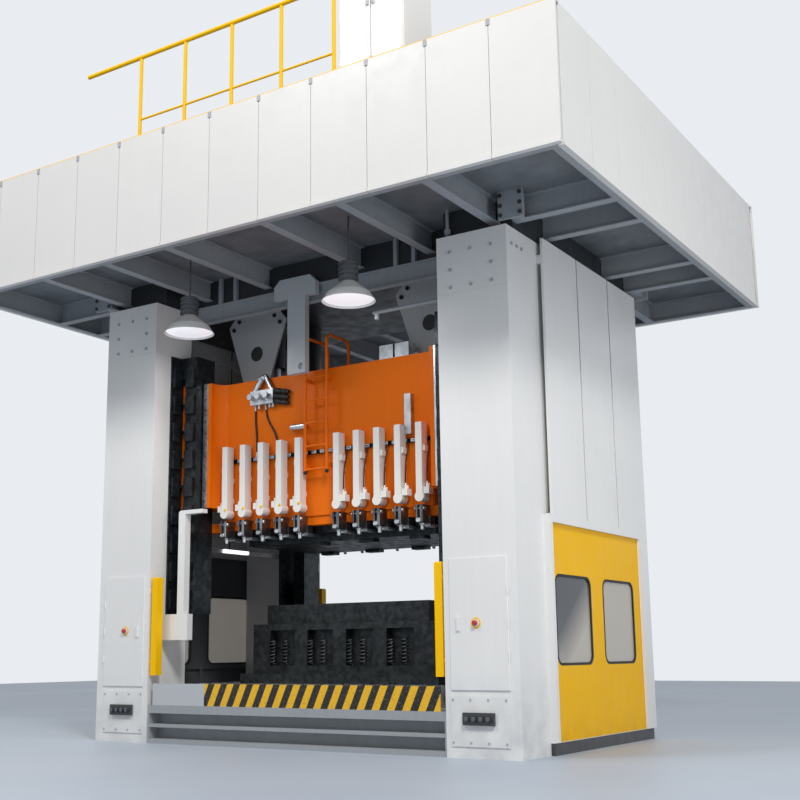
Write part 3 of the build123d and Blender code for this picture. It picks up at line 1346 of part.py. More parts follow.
def front_rails():
    """The channel under the crown's front edge, its hangers, an arm and a small stand."""
    z0 = UPRIGHT_H - FRONT_BEAM_H
    y1 = -CROWN_HALF_D
    y0 = y1 - FRONT_BEAM_D
    channel = block(-INNER, INNER, y0, y1, z0, UPRIGHT_H)
    channel -= block(-INNER, INNER, y0, y1 - 14.0, z0 + 22.0, UPRIGHT_H - 22.0)
    arm_z = HEAD_Z - 10.0
    arm = bar(FRONT + 120.0, arm_z, INNER - 950.0, INNER, 24.0)
    arm += post(INNER - 900.0, FRONT + 120.0, arm_z - 90.0, arm_z, 30.0)
    arm += block(INNER - 20.0, INNER, FRONT + 70.0, FRONT + 170.0, arm_z - 60.0, arm_z + 60.0)
    posts = []
    for x in HANGER_POSTS:
        post_y = y1 - HANGER_POST - 5.0
        posts += both_sides(block(x, x + HANGER_POST, post_y, post_y + HANGER_POST, UPRIGHT_H, DECK_Z))
    stand = post(INNER + 95.0, FRONT + 100.0, UPRIGHT_H, DECK_Z, 20.0)
    stand += post(INNER + 95.0, FRONT + 100.0, UPRIGHT_H + 60.0, UPRIGHT_H + 120.0, 38.0)
    return [channel, arm, stand] + posts


def service_duct():
    """The T-shaped duct for hoses that comes down from the crown."""
    y1 = -CROWN_HALF_D - FRONT_BEAM_D
    y0 = y1 - DUCT_D
    half = DUCT_HEAD_W / 2
    top = DUCT_HEAD_Z + DUCT_HEAD_H
    head = [(DUCT_X - half, DUCT_HEAD_Z), (DUCT_X + half, DUCT_HEAD_Z),
            (DUCT_X + half, top - DUCT_CHAMFER), (DUCT_X + half - DUCT_CHAMFER, top),
            (DUCT_X - half + DUCT_CHAMFER, top), (DUCT_X - half, top - DUCT_CHAMFER)]
    middle = DUCT_X + DUCT_SHIFT
    down = block(middle - DUCT_W / 2, middle + DUCT_W / 2, y0, y1, DUCT_Z0, DUCT_HEAD_Z)
    down -= shaft(middle + DUCT_W / 4, DUCT_Z0 + 90.0, y0, y0 + 30.0, 42.0)
    return [plate(head, y0, y1), down]


def hanger_plate():
    """The V-shaped plate in front of the right points, bolted under the crown."""
    half = HANGER_TOP_W / 2
    tip = HANGER_TIP_W / 2
    top = UPRIGHT_H
    outline = [(-half + HANGER_CHAMFER, top), (half - HANGER_CHAMFER, top),
               (half, top - HANGER_CHAMFER * 1.2), (tip, HANGER_Z), (-tip, HANGER_Z),
               (-half, top - HANGER_CHAMFER * 1.2)]
    y0 = -HANGER_Y - HANGER_T / 2
    y1 = y0 + HANGER_T
    body = plate(outline, y0, y1)
    body += block(-half + HANGER_CHAMFER, half - HANGER_CHAMFER, y0 - 50.0, y1, top - 25.0, top)
    body -= shaft(0, HANGER_HOLE_Z, y0, y1, HANGER_HOLE_R)
    return Pos(POINT_X, 0, 0) * body


def lamp_shade():
    """The spun reflector of the right lamp, a thin open cone."""
    sheet = 4.0
    outline = Polyline((LAMP_NECK_R, LAMP_SHADE_H), (LAMP_NECK_R + 40.0, LAMP_SHADE_H * 0.86),
                       (LAMP_R * 0.80, LAMP_SHADE_H * 0.42), (LAMP_R, 0),
                       (LAMP_R - sheet, 0), (LAMP_R * 0.80 - sheet, LAMP_SHADE_H * 0.42 - sheet),
                       (LAMP_NECK_R + 40.0 - sheet, LAMP_SHADE_H * 0.86 - sheet),
                       (LAMP_NECK_R - sheet, LAMP_SHADE_H), close=True)
    outline = Plane.XZ * outline
    shade = revolve(make_face(outline), Axis.Z)
    return Pos(LAMP_X, LAMP_Y, LAMP_Z) * shade


def lamp_housing():
    """The finned housing of the right lamp with its socket and its suspension rod."""
    z0 = LAMP_Z + LAMP_SHADE_H
    body = post(0, 0, z0, z0 + LAMP_HOUSING_H, LAMP_HOUSING_R - 20.0)
    for index in range(4):
        z = z0 + 20.0 + index * LAMP_HOUSING_H / 4
        body += post(0, 0, z, z + 24.0, LAMP_HOUSING_R)
    body += post(0, 0, z0 - 60.0, z0, 40.0)
    body += post(0, 0, z0 + LAMP_HOUSING_H, DECK_Z, 11.0)
    return Pos(LAMP_X, LAMP_Y, 0) * body


# Guards in the window


def guard_board():
    """The striped board on the front edge of the bed."""
    y0 = -HALF_D + BED_SETBACK
    return block(-INNER + 80.0, INNER - 80.0, y0, y0 + GUARD_T, BED_H, BED_H + GUARD_H)


def light_curtain():
    """A light curtain post on the inner side of the front right upright."""
    x1 = INNER - CURTAIN_OFF
    y0 = FRONT + 15.0
    body = block(x1 - CURTAIN_W, x1, y0, y0 + CURTAIN_D, CURTAIN_Z0, CURTAIN_Z1)
    for z in (CURTAIN_Z0 + 150.0, CURTAIN_Z1 - 190.0):
        body += block(x1, INNER, y0 + 15.0, y0 + 55.0, z, z + 40.0)
    return fillet(body.edges().group_by(Axis.Z)[-1], 20.0)


def safety_prop():
    """The prop that blocks the slide, standing in its holder on the front upright."""
    y0 = -PROP_Y - PROP_D / 2
    y1 = y0 + PROP_D
    x1 = PROP_X0 + PROP_W
    holder = block(PROP_HOLDER_X0, INNER, y0, y1, PROP_HOLDER_Z0, PROP_HOLDER_Z1)
    prop = block(PROP_X0, x1, y0, y1, PROP_HOLDER_Z1, PROP_TOP)
    prop += block(PROP_ARM_X0, x1, y0, y1, PROP_TOP - PROP_ARM_H, PROP_TOP)
    corner = prop.edges().filter_by(Axis.Y).group_by(Axis.Z)[-1].sort_by(Axis.X)[-1]
    return [holder, fillet(corner, 40.0)]


def work_light():
    """The light tube on a beam across the left side bay."""
    half = LIGHT_BEAM / 2
    x0 = -INNER - 5.0 - LIGHT_BEAM
    x1 = x0 + LIGHT_BEAM
    beam = block(x0, x1, -UPRIGHT_BACK, UPRIGHT_BACK, LIGHT_Z - half, LIGHT_Z + half)
    tube = block(x1, x1 + LIGHT_W, *LIGHT_Y, LIGHT_Z - LIGHT_W / 2, LIGHT_Z + LIGHT_W / 2)
    return [beam, fillet(tube.edges().filter_by(Axis.Y), 15.0)]


def every(shapes, move):
    return [move(shape) for shape in shapes]


def write_frame():
    save("bed", bed())
    save("bolster", bolster())
    save("uprights_front", *both_sides(upright(doorway=True)))
    save("uprights_rear", *both_sides(on_back(upright(doorway=False))))
    save("head_blocks", *four_corners(head_block()))
    save("tie_rods", *[solid for part in tie_rod() for solid in four_corners(part)])
    save("crown", crown())
    save("crown_cover", crown_cover())
    save("frame_bolts", *bolts(), *fascia_clamps())


def write_drive():
    save("centre_gear", centre_gear())
    save("eccentric_gears", *both_sides(eccentric_gear()))
    save("drive_shaft", drive_shaft())
    save("flywheel", flywheel())
    save("motor_pulley", motor_pulley())
    save("main_motor", main_motor())
    save("drive_belts", drive_belts())
    save("connecting_rods", *four_corners(connecting_rod()))
    save("plungers", *four_corners(plunger()))
    save("balance_cylinders", *both_sides(balance_cylinder()))
    save("balance_rods", *both_sides(balance_rod()))


def write_slide():
    save("slide", slide())
    save("guide_rails", *four_corners(guide_rail()))
    save("ladder", ladder())
    rows = [magazine(x) for x in clamp_places()]
    save("clamp_magazines", *rows, *every(rows, on_back))
    heads = [clamp(x) for x in clamp_places()]
    save("front_clamps", *heads)
    save("rear_clamps", *every(heads, on_back))
    save("slide_fittings", *slide_fittings())
    save("clamp_hoses", *clamp_hoses())
    save("upper_die", upper_die())
    save("lower_die", lower_die())


def write_sides():
    for side, move in (("right", lambda shape: shape), ("left", on_left)):
        save(f"lift_door_{side}", move(lift_door()))
        save(f"door_gaskets_{side}", *every(door_gaskets(), move))
        save(f"door_glass_{side}", *every(door_panes(), move))
        save(f"access_door_{side}", move(access_door()))
        save(f"stop_button_{side}", move(stop_button()))
    save("door_frames", *[solid for part in door_frame() for solid in both_sides(part)])
    save("side_panels", *[solid for part in side_panels() for solid in both_sides(part)])
    save("base_covers", *[solid for part in base_cover() for solid in both_sides(part)])


def write_platform():
    save("platform_frame", *platform_frame())
    save("deck_plates", *deck_plates(), *upper_deck())
    front = fascia_row(HALF_X, FASCIA_FRONT_PANELS, lambda shape: shape)
    save("fascia_front", *front)
    save("fascia_rear", *every(front, on_back))
    reach = HALF_Y - FASCIA_LIP - FASCIA_T - FASCIA_RETURN
    right = fascia_row(reach, FASCIA_SIDE_PANELS, side_place)
    save("fascia_sides", *right, *every(right, on_left))
    save("handrail", *handrail())
    save("upper_railing", *upper_railing())
    save("top_cabinet", top_cabinet())
    save("front_rails", *front_rails())
    save("service_duct", *service_duct())
    save("hanger_plates", *both_sides(hanger_plate()))
    save("lamp_shades", *both_sides(lamp_shade()))
    save("lamp_housings", *both_sides(lamp_housing()))


def write_guards():
    board = guard_board()
    save("guard_boards", board, on_back(board))
    save("light_curtains", *four_corners(light_curtain()))
    save("work_light", *work_light())
    save("safety_props", *every(safety_prop(), on_left))


os.makedirs("parts", exist_ok=True)
write_frame()
write_drive()
write_slide()
write_sides()
write_platform()
write_guards()
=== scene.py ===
# %% [markdown]
# # A four-point mechanical press
# This press shapes car panels. Four white uprights carry a closed crown, and an orange slide
# runs down between them. A walled platform hangs round the crown, yellow doors close the two
# sides, and rows of die clamps hang on the slide's front and back.
# The solids come ready made from the CAD frame. This lesson gives each of them a finish, and
# adds the pieces that are too small or too soft for the solids.

# %% Load the frame
from math import pi, radians, tau

import bmesh
import bpy
import numpy as np
from mathutils import Matrix, Vector


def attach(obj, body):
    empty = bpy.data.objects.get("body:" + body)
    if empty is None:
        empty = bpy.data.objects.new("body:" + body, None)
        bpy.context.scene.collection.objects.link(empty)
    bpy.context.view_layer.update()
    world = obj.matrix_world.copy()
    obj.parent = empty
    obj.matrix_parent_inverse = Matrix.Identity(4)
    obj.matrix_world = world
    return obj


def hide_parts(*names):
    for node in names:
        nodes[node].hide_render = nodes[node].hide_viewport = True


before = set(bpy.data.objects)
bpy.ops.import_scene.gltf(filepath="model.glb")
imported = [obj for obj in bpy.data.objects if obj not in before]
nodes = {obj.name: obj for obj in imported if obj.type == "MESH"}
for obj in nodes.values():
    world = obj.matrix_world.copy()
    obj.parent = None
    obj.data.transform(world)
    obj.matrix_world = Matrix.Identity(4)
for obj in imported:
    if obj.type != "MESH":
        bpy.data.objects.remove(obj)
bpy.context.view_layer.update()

# %% [markdown]
# ## Colours
# A paint chart gives sRGB values, but the renderer adds light in linear values. One function
# turns the first into the second, so that every colour below can be written as on a chart.


# %% Colour helper
def linear(code):
    """sRGB hex to linear: a part below 0.04045 is divided by 12.92, the rest is a 2.4 power."""
    srgb = np.array([int(code[i:i + 2], 16) for i in (1, 3, 5)]) / 255.0
    low = srgb / 12.92
    high = ((srgb + 0.055) / 1.055) ** 2.4
    return (*np.where(srgb <= 0.04045, low, high), 1.0)


print("middle grey is", round(float(linear("#808080")[0]), 3), "in linear light")

# %% [markdown]
# ## One way to build every material
# A material is a small graph of nodes. It could be joined by hand in the shader editor, but
# code can be read and run again. `add` puts one node in, with its options and with a value or
# another node's socket for each input, so that a material reads from top to bottom. All
# patterns are placed by Object coordinates, which are metres here and move with the piece.

# %% Material helpers
# A Mix node has sockets for every data type, and these are the ones that it uses for colours.
AMOUNT, UNDER, OVER, MIXED = 0, 6, 7, 2


def add(tree, kind, inputs=None, **options):
    """Adds one shader node: its options, then a value or another node's socket per input."""
    node = tree.nodes.new("ShaderNode" + kind)
    for name, value in options.items():
        setattr(node, name, value)
    for socket, value in (inputs or {}).items():
        if isinstance(value, bpy.types.NodeSocket):
            tree.links.new(value, node.inputs[socket])
        else:
            node.inputs[socket].default_value = value
    return node


def start_material(name):
    """An empty material: itself, its node tree and its Object coordinates."""
    material = bpy.data.materials.new(name)
    material.use_nodes = True
    tree = material.node_tree
    tree.nodes.clear()
    return material, tree, add(tree, "TexCoord").outputs["Object"]


def finish_material(material, surface):
    """Ends a material: the shader takes the surface's inputs, and the output takes the shader."""
    tree = material.node_tree
    shader = add(tree, "BsdfPrincipled", surface)
    add(tree, "OutputMaterial", {"Surface": shader.outputs[0]})
    print(material.name, len(tree.nodes), "nodes")


def shader_of(material):
    """The shader that a finished material ends in."""
    return next(node for node in material.node_tree.nodes if node.type == "BSDF_PRINCIPLED")


# %% [markdown]
# ## Patches
# No surface on a machine is even. Dust, oil, the spray gun and the casting sand all leave
# patches, each of its own size. `grain` turns that size in millimetres into the number of
# patches in a metre, and `mottle` spreads their middle tones between two levels, so that they
# show at all.


# %% Patches of one size
def grain(size_mm):
    """How many features of this size lie in a metre."""
    return 1000.0 / size_mm


def mottle(tree, place, size_mm, detail, low=0.0, high=1.0, stretch=None):
    """Soft patches of one size: a cloud's values from 0.35 to 0.65, spread from low to high."""
    if stretch:
        place = add(tree, "Mapping", {"Scale": stretch, "Vector": place}).outputs[0]
    cloud = add(tree, "TexNoise", {"Scale": grain(size_mm), "Detail": detail, "Vector": place})
    spread = add(tree, "MapRange", {"Value": cloud.outputs[0], "From Min": 0.35,
                                    "From Max": 0.65, "To Min": low, "To Max": high})
    return spread.outputs[0]


print("patches of 50 mm in a metre:", grain(50.0))

# %% [markdown]
# ## Enamel
# Nearly all of a press is sprayed enamel on welded plate. Its skin is orange peel, shallow
# dimples of a few millimetres. They are drawn 9 mm wide, coarser than life, so that they show
# in a near view, and from the camera they only soften the gloss. From afar the paint is never
# one flat tone: oil and water leave vertical streaks, and plates that were sprayed on different
# days differ a little. A picture of dirty paint would repeat itself, so the dirt is worked out
# instead, one thin layer of the dirt's colour over the other.

# %% Enamel
MM = 0.001
PEEL_MM = 9.0
PEEL_DEPTH = 0.25 * MM
CLOUD_MM = 1300.0
STREAK_MM = 55.0
STREAK_DRAWN_OUT = (1.0, 1.0, 0.06)
GRIME_MM = 240.0
GRIME_AT_FLOOR = 0.45
TALLER_THAN_A_PANEL_M = 50.0
HANDLED_MM = 180.0


def enamel(name, colour, dirt, rough=0.36, tone=0.015, streaks=0.03, foot=None, panel_m=None,
           shine=0.5):
    """Sprayed enamel: cloudy tone, streaks that run down, grime near the foot, orange peel."""
    material, tree, place = start_material(name)
    layers = [mottle(tree, place, CLOUD_MM, detail=2.0, high=tone * 4)]
    if panel_m:
        panel = (panel_m, panel_m, TALLER_THAN_A_PANEL_M)
        cell = add(tree, "VectorMath", {0: place, 1: panel}, operation="SNAP")
        shade = add(tree, "TexWhiteNoise", {"Vector": cell.outputs[0]}, noise_dimensions="3D")
        layers.append(add(tree, "MapRange", {"Value": shade.outputs[0], "To Min": 0.0,
                                             "To Max": tone * 3}).outputs[0])
    layers.append(mottle(tree, place, STREAK_MM, detail=5.0, high=streaks,
                         stretch=STREAK_DRAWN_OUT))
    if foot:
        height = add(tree, "SeparateXYZ", {0: place}).outputs[2]
        near = add(tree, "MapRange", {"Value": height, "From Min": foot, "From Max": 0.0,
                                      "To Min": 0.0, "To Max": GRIME_AT_FLOOR})
        splashes = mottle(tree, place, GRIME_MM, detail=6.0)
        patchy = add(tree, "Math", {0: near.outputs[0], 1: splashes}, operation="MULTIPLY")
        layers.append(patchy.outputs[0])
    paint = linear(colour)
    for layer in layers:
        paint = add(tree, "Mix", {AMOUNT: layer, UNDER: paint, OVER: linear(dirt)},
                    data_type="RGBA").outputs[MIXED]
    dimples = mottle(tree, place, PEEL_MM, detail=1.0)
    peel = add(tree, "Bump", {"Height": dimples, "Strength": 0.4, "Distance": PEEL_DEPTH})
    finish_material(material, {
        "Base Color": paint,
        "Roughness": mottle(tree, place, HANDLED_MM, detail=4.0, low=rough - 0.06,
                            high=rough + 0.10),
        "Specular IOR Level": shine,
        "Normal": peel.outputs[0],
    })
    return material


# %% [markdown]
# ## Two tones on one solid
# Some solids hold parts in two colours, such as a cover with its black socket strip. They
# could be cut into separate meshes, but the solids must stay as they are. A mask that is 1
# between two heights or widths and 0 elsewhere lets a second coat on in just that place.


# %% Second coat
def inside(tree, place, limits):
    """1 within the limits of some axes and 0 elsewhere; an axis in bars takes both its signs."""
    axes = add(tree, "SeparateXYZ", {0: place})
    mask = None
    for axis, (low, high) in limits.items():
        value = axes.outputs["xyz".index(axis.strip("|"))]
        if "|" in axis:
            value = add(tree, "Math", {0: value}, operation="ABSOLUTE").outputs[0]
        near = add(tree, "Math", {0: value, 1: (low + high) / 2, 2: (high - low) / 2},
                   operation="COMPARE").outputs[0]
        if mask is not None:
            near = add(tree, "Math", {0: mask, 1: near}, operation="MULTIPLY").outputs[0]
        mask = near
    return mask


def repaint(material, colour, limits):
    """Another colour within the limits, for a solid that is painted in two tones."""
    tree = material.node_tree
    base = shader_of(material).inputs["Base Color"]
    mask = inside(tree, add(tree, "TexCoord").outputs["Object"], limits)
    coat = add(tree, "Mix", {AMOUNT: mask, UNDER: base.links[0].from_socket,
                             OVER: linear(colour)}, data_type="RGBA")
    tree.links.new(coat.outputs[MIXED], base)
    return material


# %% [markdown]
# ## The press's paints
# White covers the uprights and their panels, the slide is orange and the lift doors are
# yellow, so that the large moving parts stand out. Beams and hangers are grey, and the crown is
# a dark grey made nearly black with painted shade. Each paint could be a graph of its own, but
# they differ only in colour, gloss and dirt, so one function makes them all. The strong colours
# reflect less than the whites here, which keeps them strong.

# %% Paints
SILL_PAINTED_SHADE = {"z": (-0.01, 0.13)}
SOCKET_STRIP = {"|y|": (1.893, 2.0)}
DOOR_INNER_SKIN = {"|x|": (3.06, 3.1105)}
BRACKET_BOLTS = {"z": (5.785, 6.3)}
HANGER_PINS = {"|y|": (0.6, 0.9)}
FASCIA_PANEL_M = 0.7333

# Bright and softly glossy, and greyer near the floor, where dirt splashes up.
white_enamel = enamel("cool_white_enamel", "#EAE9E7", "#A3A8AC", foot=0.9)
# A slightly warmer white, a little lighter or darker from one folded panel to the next.
fascia_enamel = enamel("fascia_white_enamel", "#E2E0DD", "#B9BABA", panel_m=FASCIA_PANEL_M)
# White posts over a sill painted dark as painted shade, for the shadow under the door.
frame_enamel = repaint(enamel("door_frame_white_enamel", "#EAE9E7", "#A3A8AC"), "#3B3D40",
                       SILL_PAINTED_SHADE)
# White covers, broken by the dark strip of their sockets.
cover_enamel = repaint(enamel("base_cover_enamel", "#EAE9E7", "#A3A8AC", foot=0.9), "#3A3C3F",
                       SOCKET_STRIP)
# A mid grey with darker runs, which lets the beams sink back.
beam_enamel = enamel("beam_grey_enamel", "#9DA1A5", "#5A5F63", rough=0.42, streaks=0.08)
# Dark grey made nearly black with painted shade, so that the gaps round the crown look deep.
crown_shaded_enamel = enamel("crown_dark_grey_enamel", "#2F3235", "#1B1D1F", rough=0.45)
# A light grey that reads as a shade beside the white.
plate_enamel = enamel("hanger_grey_enamel", "#BEC1C1", "#66696B", rough=0.45)
# A cooler light grey, like bare sheet from afar.
duct_enamel = enamel("duct_grey_enamel", "#B8BBBE", "#666A6D", rough=0.42)
# A warm, pale tone that stands off the orange behind it.
cream_enamel = enamel("cream_enamel", "#F0EDE7", "#B8B3A8", rough=0.34, streaks=0.05)
# A strong orange that stays even, with hardly a run in it.
orange_enamel = enamel("orange_enamel", "#F3740E", "#AC4704", rough=0.42, tone=0.02,
                       streaks=0.04, shine=0.15)
# A warm yellow, seen at once on rails and posts.
yellow_enamel = enamel("yellow_enamel", "#FFC60A", "#C9930C", rough=0.40, shine=0.12)
# A slightly deeper yellow, dirty at the foot, over a grey inner skin.
door_enamel = repaint(enamel("lift_door_enamel", "#FBBF0A", "#C08A0A", rough=0.40, foot=0.4,
                             shine=0.12), "#5A5D5F", DOOR_INNER_SKIN)
# A dull blue-grey that sets the motor apart.
blue_grey_enamel = enamel("blue_grey_enamel", "#5C6B78", "#2C343B", rough=0.45)
# A dark grey shell round a bright lamp.
lamp_enamel = enamel("lamp_dark_grey_enamel", "#55585C", "#2A2C2E", rough=0.40)
# Smooth and white, so that it throws the lamp's light back.
reflector_enamel = enamel("white_reflector_enamel", "#F4F3F0", "#C9C7C0", rough=0.20)
# Light heads on the white plates, and dark ones on brackets and hangers.
bolt_enamel = enamel("painted_bolt_enamel", "#A9ADB1", "#63676B", rough=0.45)
repaint(bolt_enamel, "#3A3C3E", BRACKET_BOLTS)
repaint(bolt_enamel, "#1E1F20", HANGER_PINS)

# %% [markdown]
# ## Hazard stripes
# The guard board at the die space is yellow with slanted black bands. Each band is 100 mm wide
# along the board. X less a part of Z stays the same along a slanted line, and its remainder
# after 200 mm says which band a point lies in. Loose stripes would be easier to turn, but
# they would stand off the board, and paint doesn't. The eye gets a sharp warning, dulled by
# grey scuffs. The left end of the board is plain grey.

# %% Hazard paint
BAND_PAIR_M = 0.2
BAND_LEAN = 0.45
PLAIN_END = {"x": (-2.2, -1.24)}


def hazard_stripes():
    """Yellow and black bands from the remainder of X less a part of Z, with scuffs."""
    material, tree, place = start_material("hazard_stripe_enamel")
    axis = add(tree, "SeparateXYZ", {0: place})
    lean = add(tree, "Math", {0: axis.outputs[2], 1: BAND_LEAN}, operation="MULTIPLY")
    along = add(tree, "Math", {0: axis.outputs[0], 1: lean.outputs[0]}, operation="SUBTRACT")
    turns = add(tree, "Math", {0: along.outputs[0], 1: BAND_PAIR_M}, operation="DIVIDE")
    part = add(tree, "Math", {0: turns.outputs[0]}, operation="FRACT")
    black = add(tree, "MapRange", {"Value": part.outputs[0], "From Min": 0.49,
                                   "From Max": 0.51})
    paint = add(tree, "Mix", {AMOUNT: black.outputs[0], UNDER: linear("#EDB616"),
                              OVER: linear("#121213")}, data_type="RGBA").outputs[MIXED]
    scuffs = mottle(tree, place, size_mm=30.0, detail=8.0, low=-0.5, high=0.35)
    paint = add(tree, "Mix", {AMOUNT: scuffs, UNDER: paint, OVER: linear("#6E6A5C")},
                data_type="RGBA").outputs[MIXED]
    dimples = mottle(tree, place, PEEL_MM, detail=1.0)
    peel = add(tree, "Bump", {"Height": dimples, "Strength": 0.4, "Distance": 0.2 * MM})
    finish_material(material, {
        "Base Color": paint,
        "Roughness": mottle(tree, place, size_mm=60.0, detail=5.0, low=0.35, high=0.6),
        "Normal": peel.outputs[0],
    })
    return material


hazard_enamel = repaint(hazard_stripes(), "#B9BDC0", PLAIN_END)
print("black bands in a metre of board:", round(1.0 / BAND_PAIR_M))

# %% [markdown]
# ## Bare metals
# Ground steel shows fine parallel scratches, so its patches are drawn out fifty times along
# one axis. Zinc plate is brighter and cloudy, and blackened bolts are dark and dull. A real
# scratch is far below a millimetre. On ground steel it is drawn 12 mm wide, with finer ones
# inside it, so that it shows in a near view. All are one function, because they differ only in
# tone, in roughness and in how their scratches run.

# %% Bare metals
EVEN = (1.0, 1.0, 1.0)
GROUND_UPRIGHT = (1.0, 1.0, 0.02)
TARNISH_MM = 150.0
SCRATCH_DEPTH = 0.1 * MM


def metal(name, colour, tint, rough, size_mm, stretch=EVEN):
    """A bare metal: cloudy colour, and scratches in its roughness and its relief."""
    material, tree, place = start_material(name)
    tarnish = add(tree, "Mix", {AMOUNT: mottle(tree, place, TARNISH_MM, detail=5.0),
                                UNDER: linear(colour), OVER: linear(tint)}, data_type="RGBA")
    scratch = mottle(tree, place, size_mm, detail=6.0, stretch=stretch)
    dull = add(tree, "MapRange", {"Value": scratch, "To Min": rough - 0.08,
                                  "To Max": rough + 0.14})
    relief = add(tree, "Bump", {"Height": scratch, "Strength": 0.4, "Distance": SCRATCH_DEPTH})
    finish_material(material, {
        "Base Color": tarnish.outputs[MIXED],
        "Metallic": 1.0,
        "Roughness": dull.outputs[0],
        "Normal": relief.outputs[0],
    })
    return material


CLAMP_KNOB = {"z": (2.50, 2.589)}
HOSE_RAIL = {"z": (3.585, 3.645), "|y|": (1.05, 1.10)}

# A streaky, cool shine on rods, shafts and the bolster.
ground_steel = metal("ground_steel", "#B4B6B8", "#8C8E90", rough=0.28, size_mm=12.0,
                     stretch=GROUND_UPRIGHT)
# Bright glints on nuts, caps and ferrules.
zinc_plate = metal("bright_zinc_plate", "#D5D8DB", "#B1B5BA", rough=0.34, size_mm=40.0)
# Dark points and lines with a dull edge of light, for screws, pipes and springs.
black_bolt = metal("blackened_bolt_steel", "#4A4C4F", "#2C2D2F", rough=0.45, size_mm=20.0)
# Worn grey clamps, each with a bright knob at its foot.
clamp_steel = metal("clamp_steel", "#85888B", "#55585B", rough=0.42, size_mm=30.0)
repaint(clamp_steel, "#D5D8DB", CLAMP_KNOB)
# Bright fittings on the slide, and a black hose rail.
fitting_steel = metal("fitting_zinc_plate", "#D5D8DB", "#B1B5BA", rough=0.34, size_mm=40.0)
repaint(fitting_steel, "#1C1D1F", HOSE_RAIL)

# %% [markdown]
# ## Oiled iron
# Dies are cast, guides and the flywheel are heavy iron, and all stay under a film of oil. The
# film could be a coat over the metal, but it hides the shine only in places, so the metal is
# made partly dull instead. The eye gets a dark, mottled mass with a few wet lights.


# %% Oiled iron
def oiled_iron(name, colour, tint, rough):
    """Cast or forged iron under a film of oil: mottled, dark, half metallic."""
    material, tree, place = start_material(name)
    patches = mottle(tree, place, size_mm=70.0, detail=8.0)
    film = add(tree, "Mix", {AMOUNT: patches, UNDER: linear(colour), OVER: linear(tint)},
               data_type="RGBA")
    sand = mottle(tree, place, size_mm=14.0, detail=8.0)
    skin = add(tree, "Bump", {"Height": sand, "Strength": 0.5, "Distance": 0.5 * MM})
    finish_material(material, {
        "Base Color": film.outputs[MIXED],
        "Metallic": 0.7,
        "Roughness": mottle(tree, place, size_mm=120.0, detail=6.0, low=rough - 0.12,
                            high=rough + 0.12),
        "Normal": skin.outputs[0],
    })
    return material


# Both dies: a dark grey mass in the middle of the press.
die_iron = oiled_iron("oiled_die_iron", "#3A3D3E", "#1E2324", rough=0.45)
# Guides and flywheel: a touch bluer and smoother, as where grease lies.
dark_guide = oiled_iron("greased_guide_iron", "#3B3F42", "#20272B", rough=0.40)

# %% [markdown]
# ## Rubber and plastic
# Moulded rubber is nearly black and rough, so it shows hardly any highlight. Its leathery grain
# is drawn 5 mm wide, coarser than life, for a near view. Both stop buttons are red plastic with
# a clear skin, smooth enough to show a highlight. An opal cover is milky plastic that glows
# evenly when it is lit from within. A lamp behind a thin wall would do that too, but slowly
# and with noise, so the wall itself gives the light.


# %% Rubber and plastic
def moulded(name, colour, tint, rough, size_mm, relief_mm, coat=0.0):
    """A moulded plastic or rubber: faint mottling and a leathery or smooth skin."""
    material, tree, place = start_material(name)
    clouds = mottle(tree, place, size_mm=90.0, detail=4.0, high=0.6)
    mass = add(tree, "Mix", {AMOUNT: clouds, UNDER: linear(colour), OVER: linear(tint)},
               data_type="RGBA")
    leather = mottle(tree, place, size_mm, detail=2.0)
    skin = add(tree, "Bump", {"Height": leather, "Strength": 0.4, "Distance": relief_mm * MM})
    finish_material(material, {
        "Base Color": mass.outputs[MIXED],
        "Roughness": mottle(tree, place, size_mm=60.0, detail=3.0, low=rough - 0.05,
                            high=rough + 0.08),
        "Coat Weight": coat,
        "Normal": skin.outputs[0],
    })
    return material


def lit_cover(name, strength, limits=None):
    """An opal cover that is lit from within, all over or only where its limits say."""
    material = moulded(name, "#F4F7FA", "#E4E8EE", rough=0.30, size_mm=20.0, relief_mm=0.05,
                       coat=0.3)
    shader = shader_of(material)
    shader.inputs["Emission Color"].default_value = linear("#F8FAFF")
    shader.inputs["Emission Strength"].default_value = strength
    if limits:
        tree = material.node_tree
        mask = inside(tree, add(tree, "TexCoord").outputs["Object"], limits)
        glow = add(tree, "Math", {0: mask, 1: strength}, operation="MULTIPLY")
        tree.links.new(glow.outputs[0], shader.inputs["Emission Strength"])
    return material


LIGHT_TUBE = {"x": (-2.1795, -2.1)}
LIGHT_BEAM = {"x": (-2.3, -2.1795)}

# Dull black, with hardly a highlight.
black_rubber = moulded("black_moulded_rubber", "#1B1B1C", "#2B2B2C", rough=0.62, size_mm=5.0,
                       relief_mm=0.2)
# A glossy signal red.
button_red = moulded("stop_button_red_plastic", "#C4180E", "#8E0E08", rough=0.25, size_mm=20.0,
                     relief_mm=0.05, coat=0.5)
# A white tube that shines, on a plain grey beam.
work_lamp = repaint(lit_cover("lit_work_light", 1.6, LIGHT_TUBE), "#9A9DA0", LIGHT_BEAM)
# A milky disc, lit but not dazzling.
lamp_glow = lit_cover("lit_lamp_lens", 0.62)

# %% [markdown]
# ## Window glass
# The windows are laminated safety glass, grey in the mass. A painted reflection makes each
# pane pale low down and towards the back, so its edge is a slope and not a level line: height
# less four fifths of Y is the same all along it. Clear glass would show the dark inside and look
# like a hole. This one lets nearly half of the light through, so that the pane can be seen.

# %% Window glass
# Painted reflection: each pane is pale low down and towards the back, dark grey above.
REFLECTION_SLOPE = (0.0, -0.8, 1.0)
REFLECTION_ENDS = 2.05
REFLECTION_FULL = 1.50


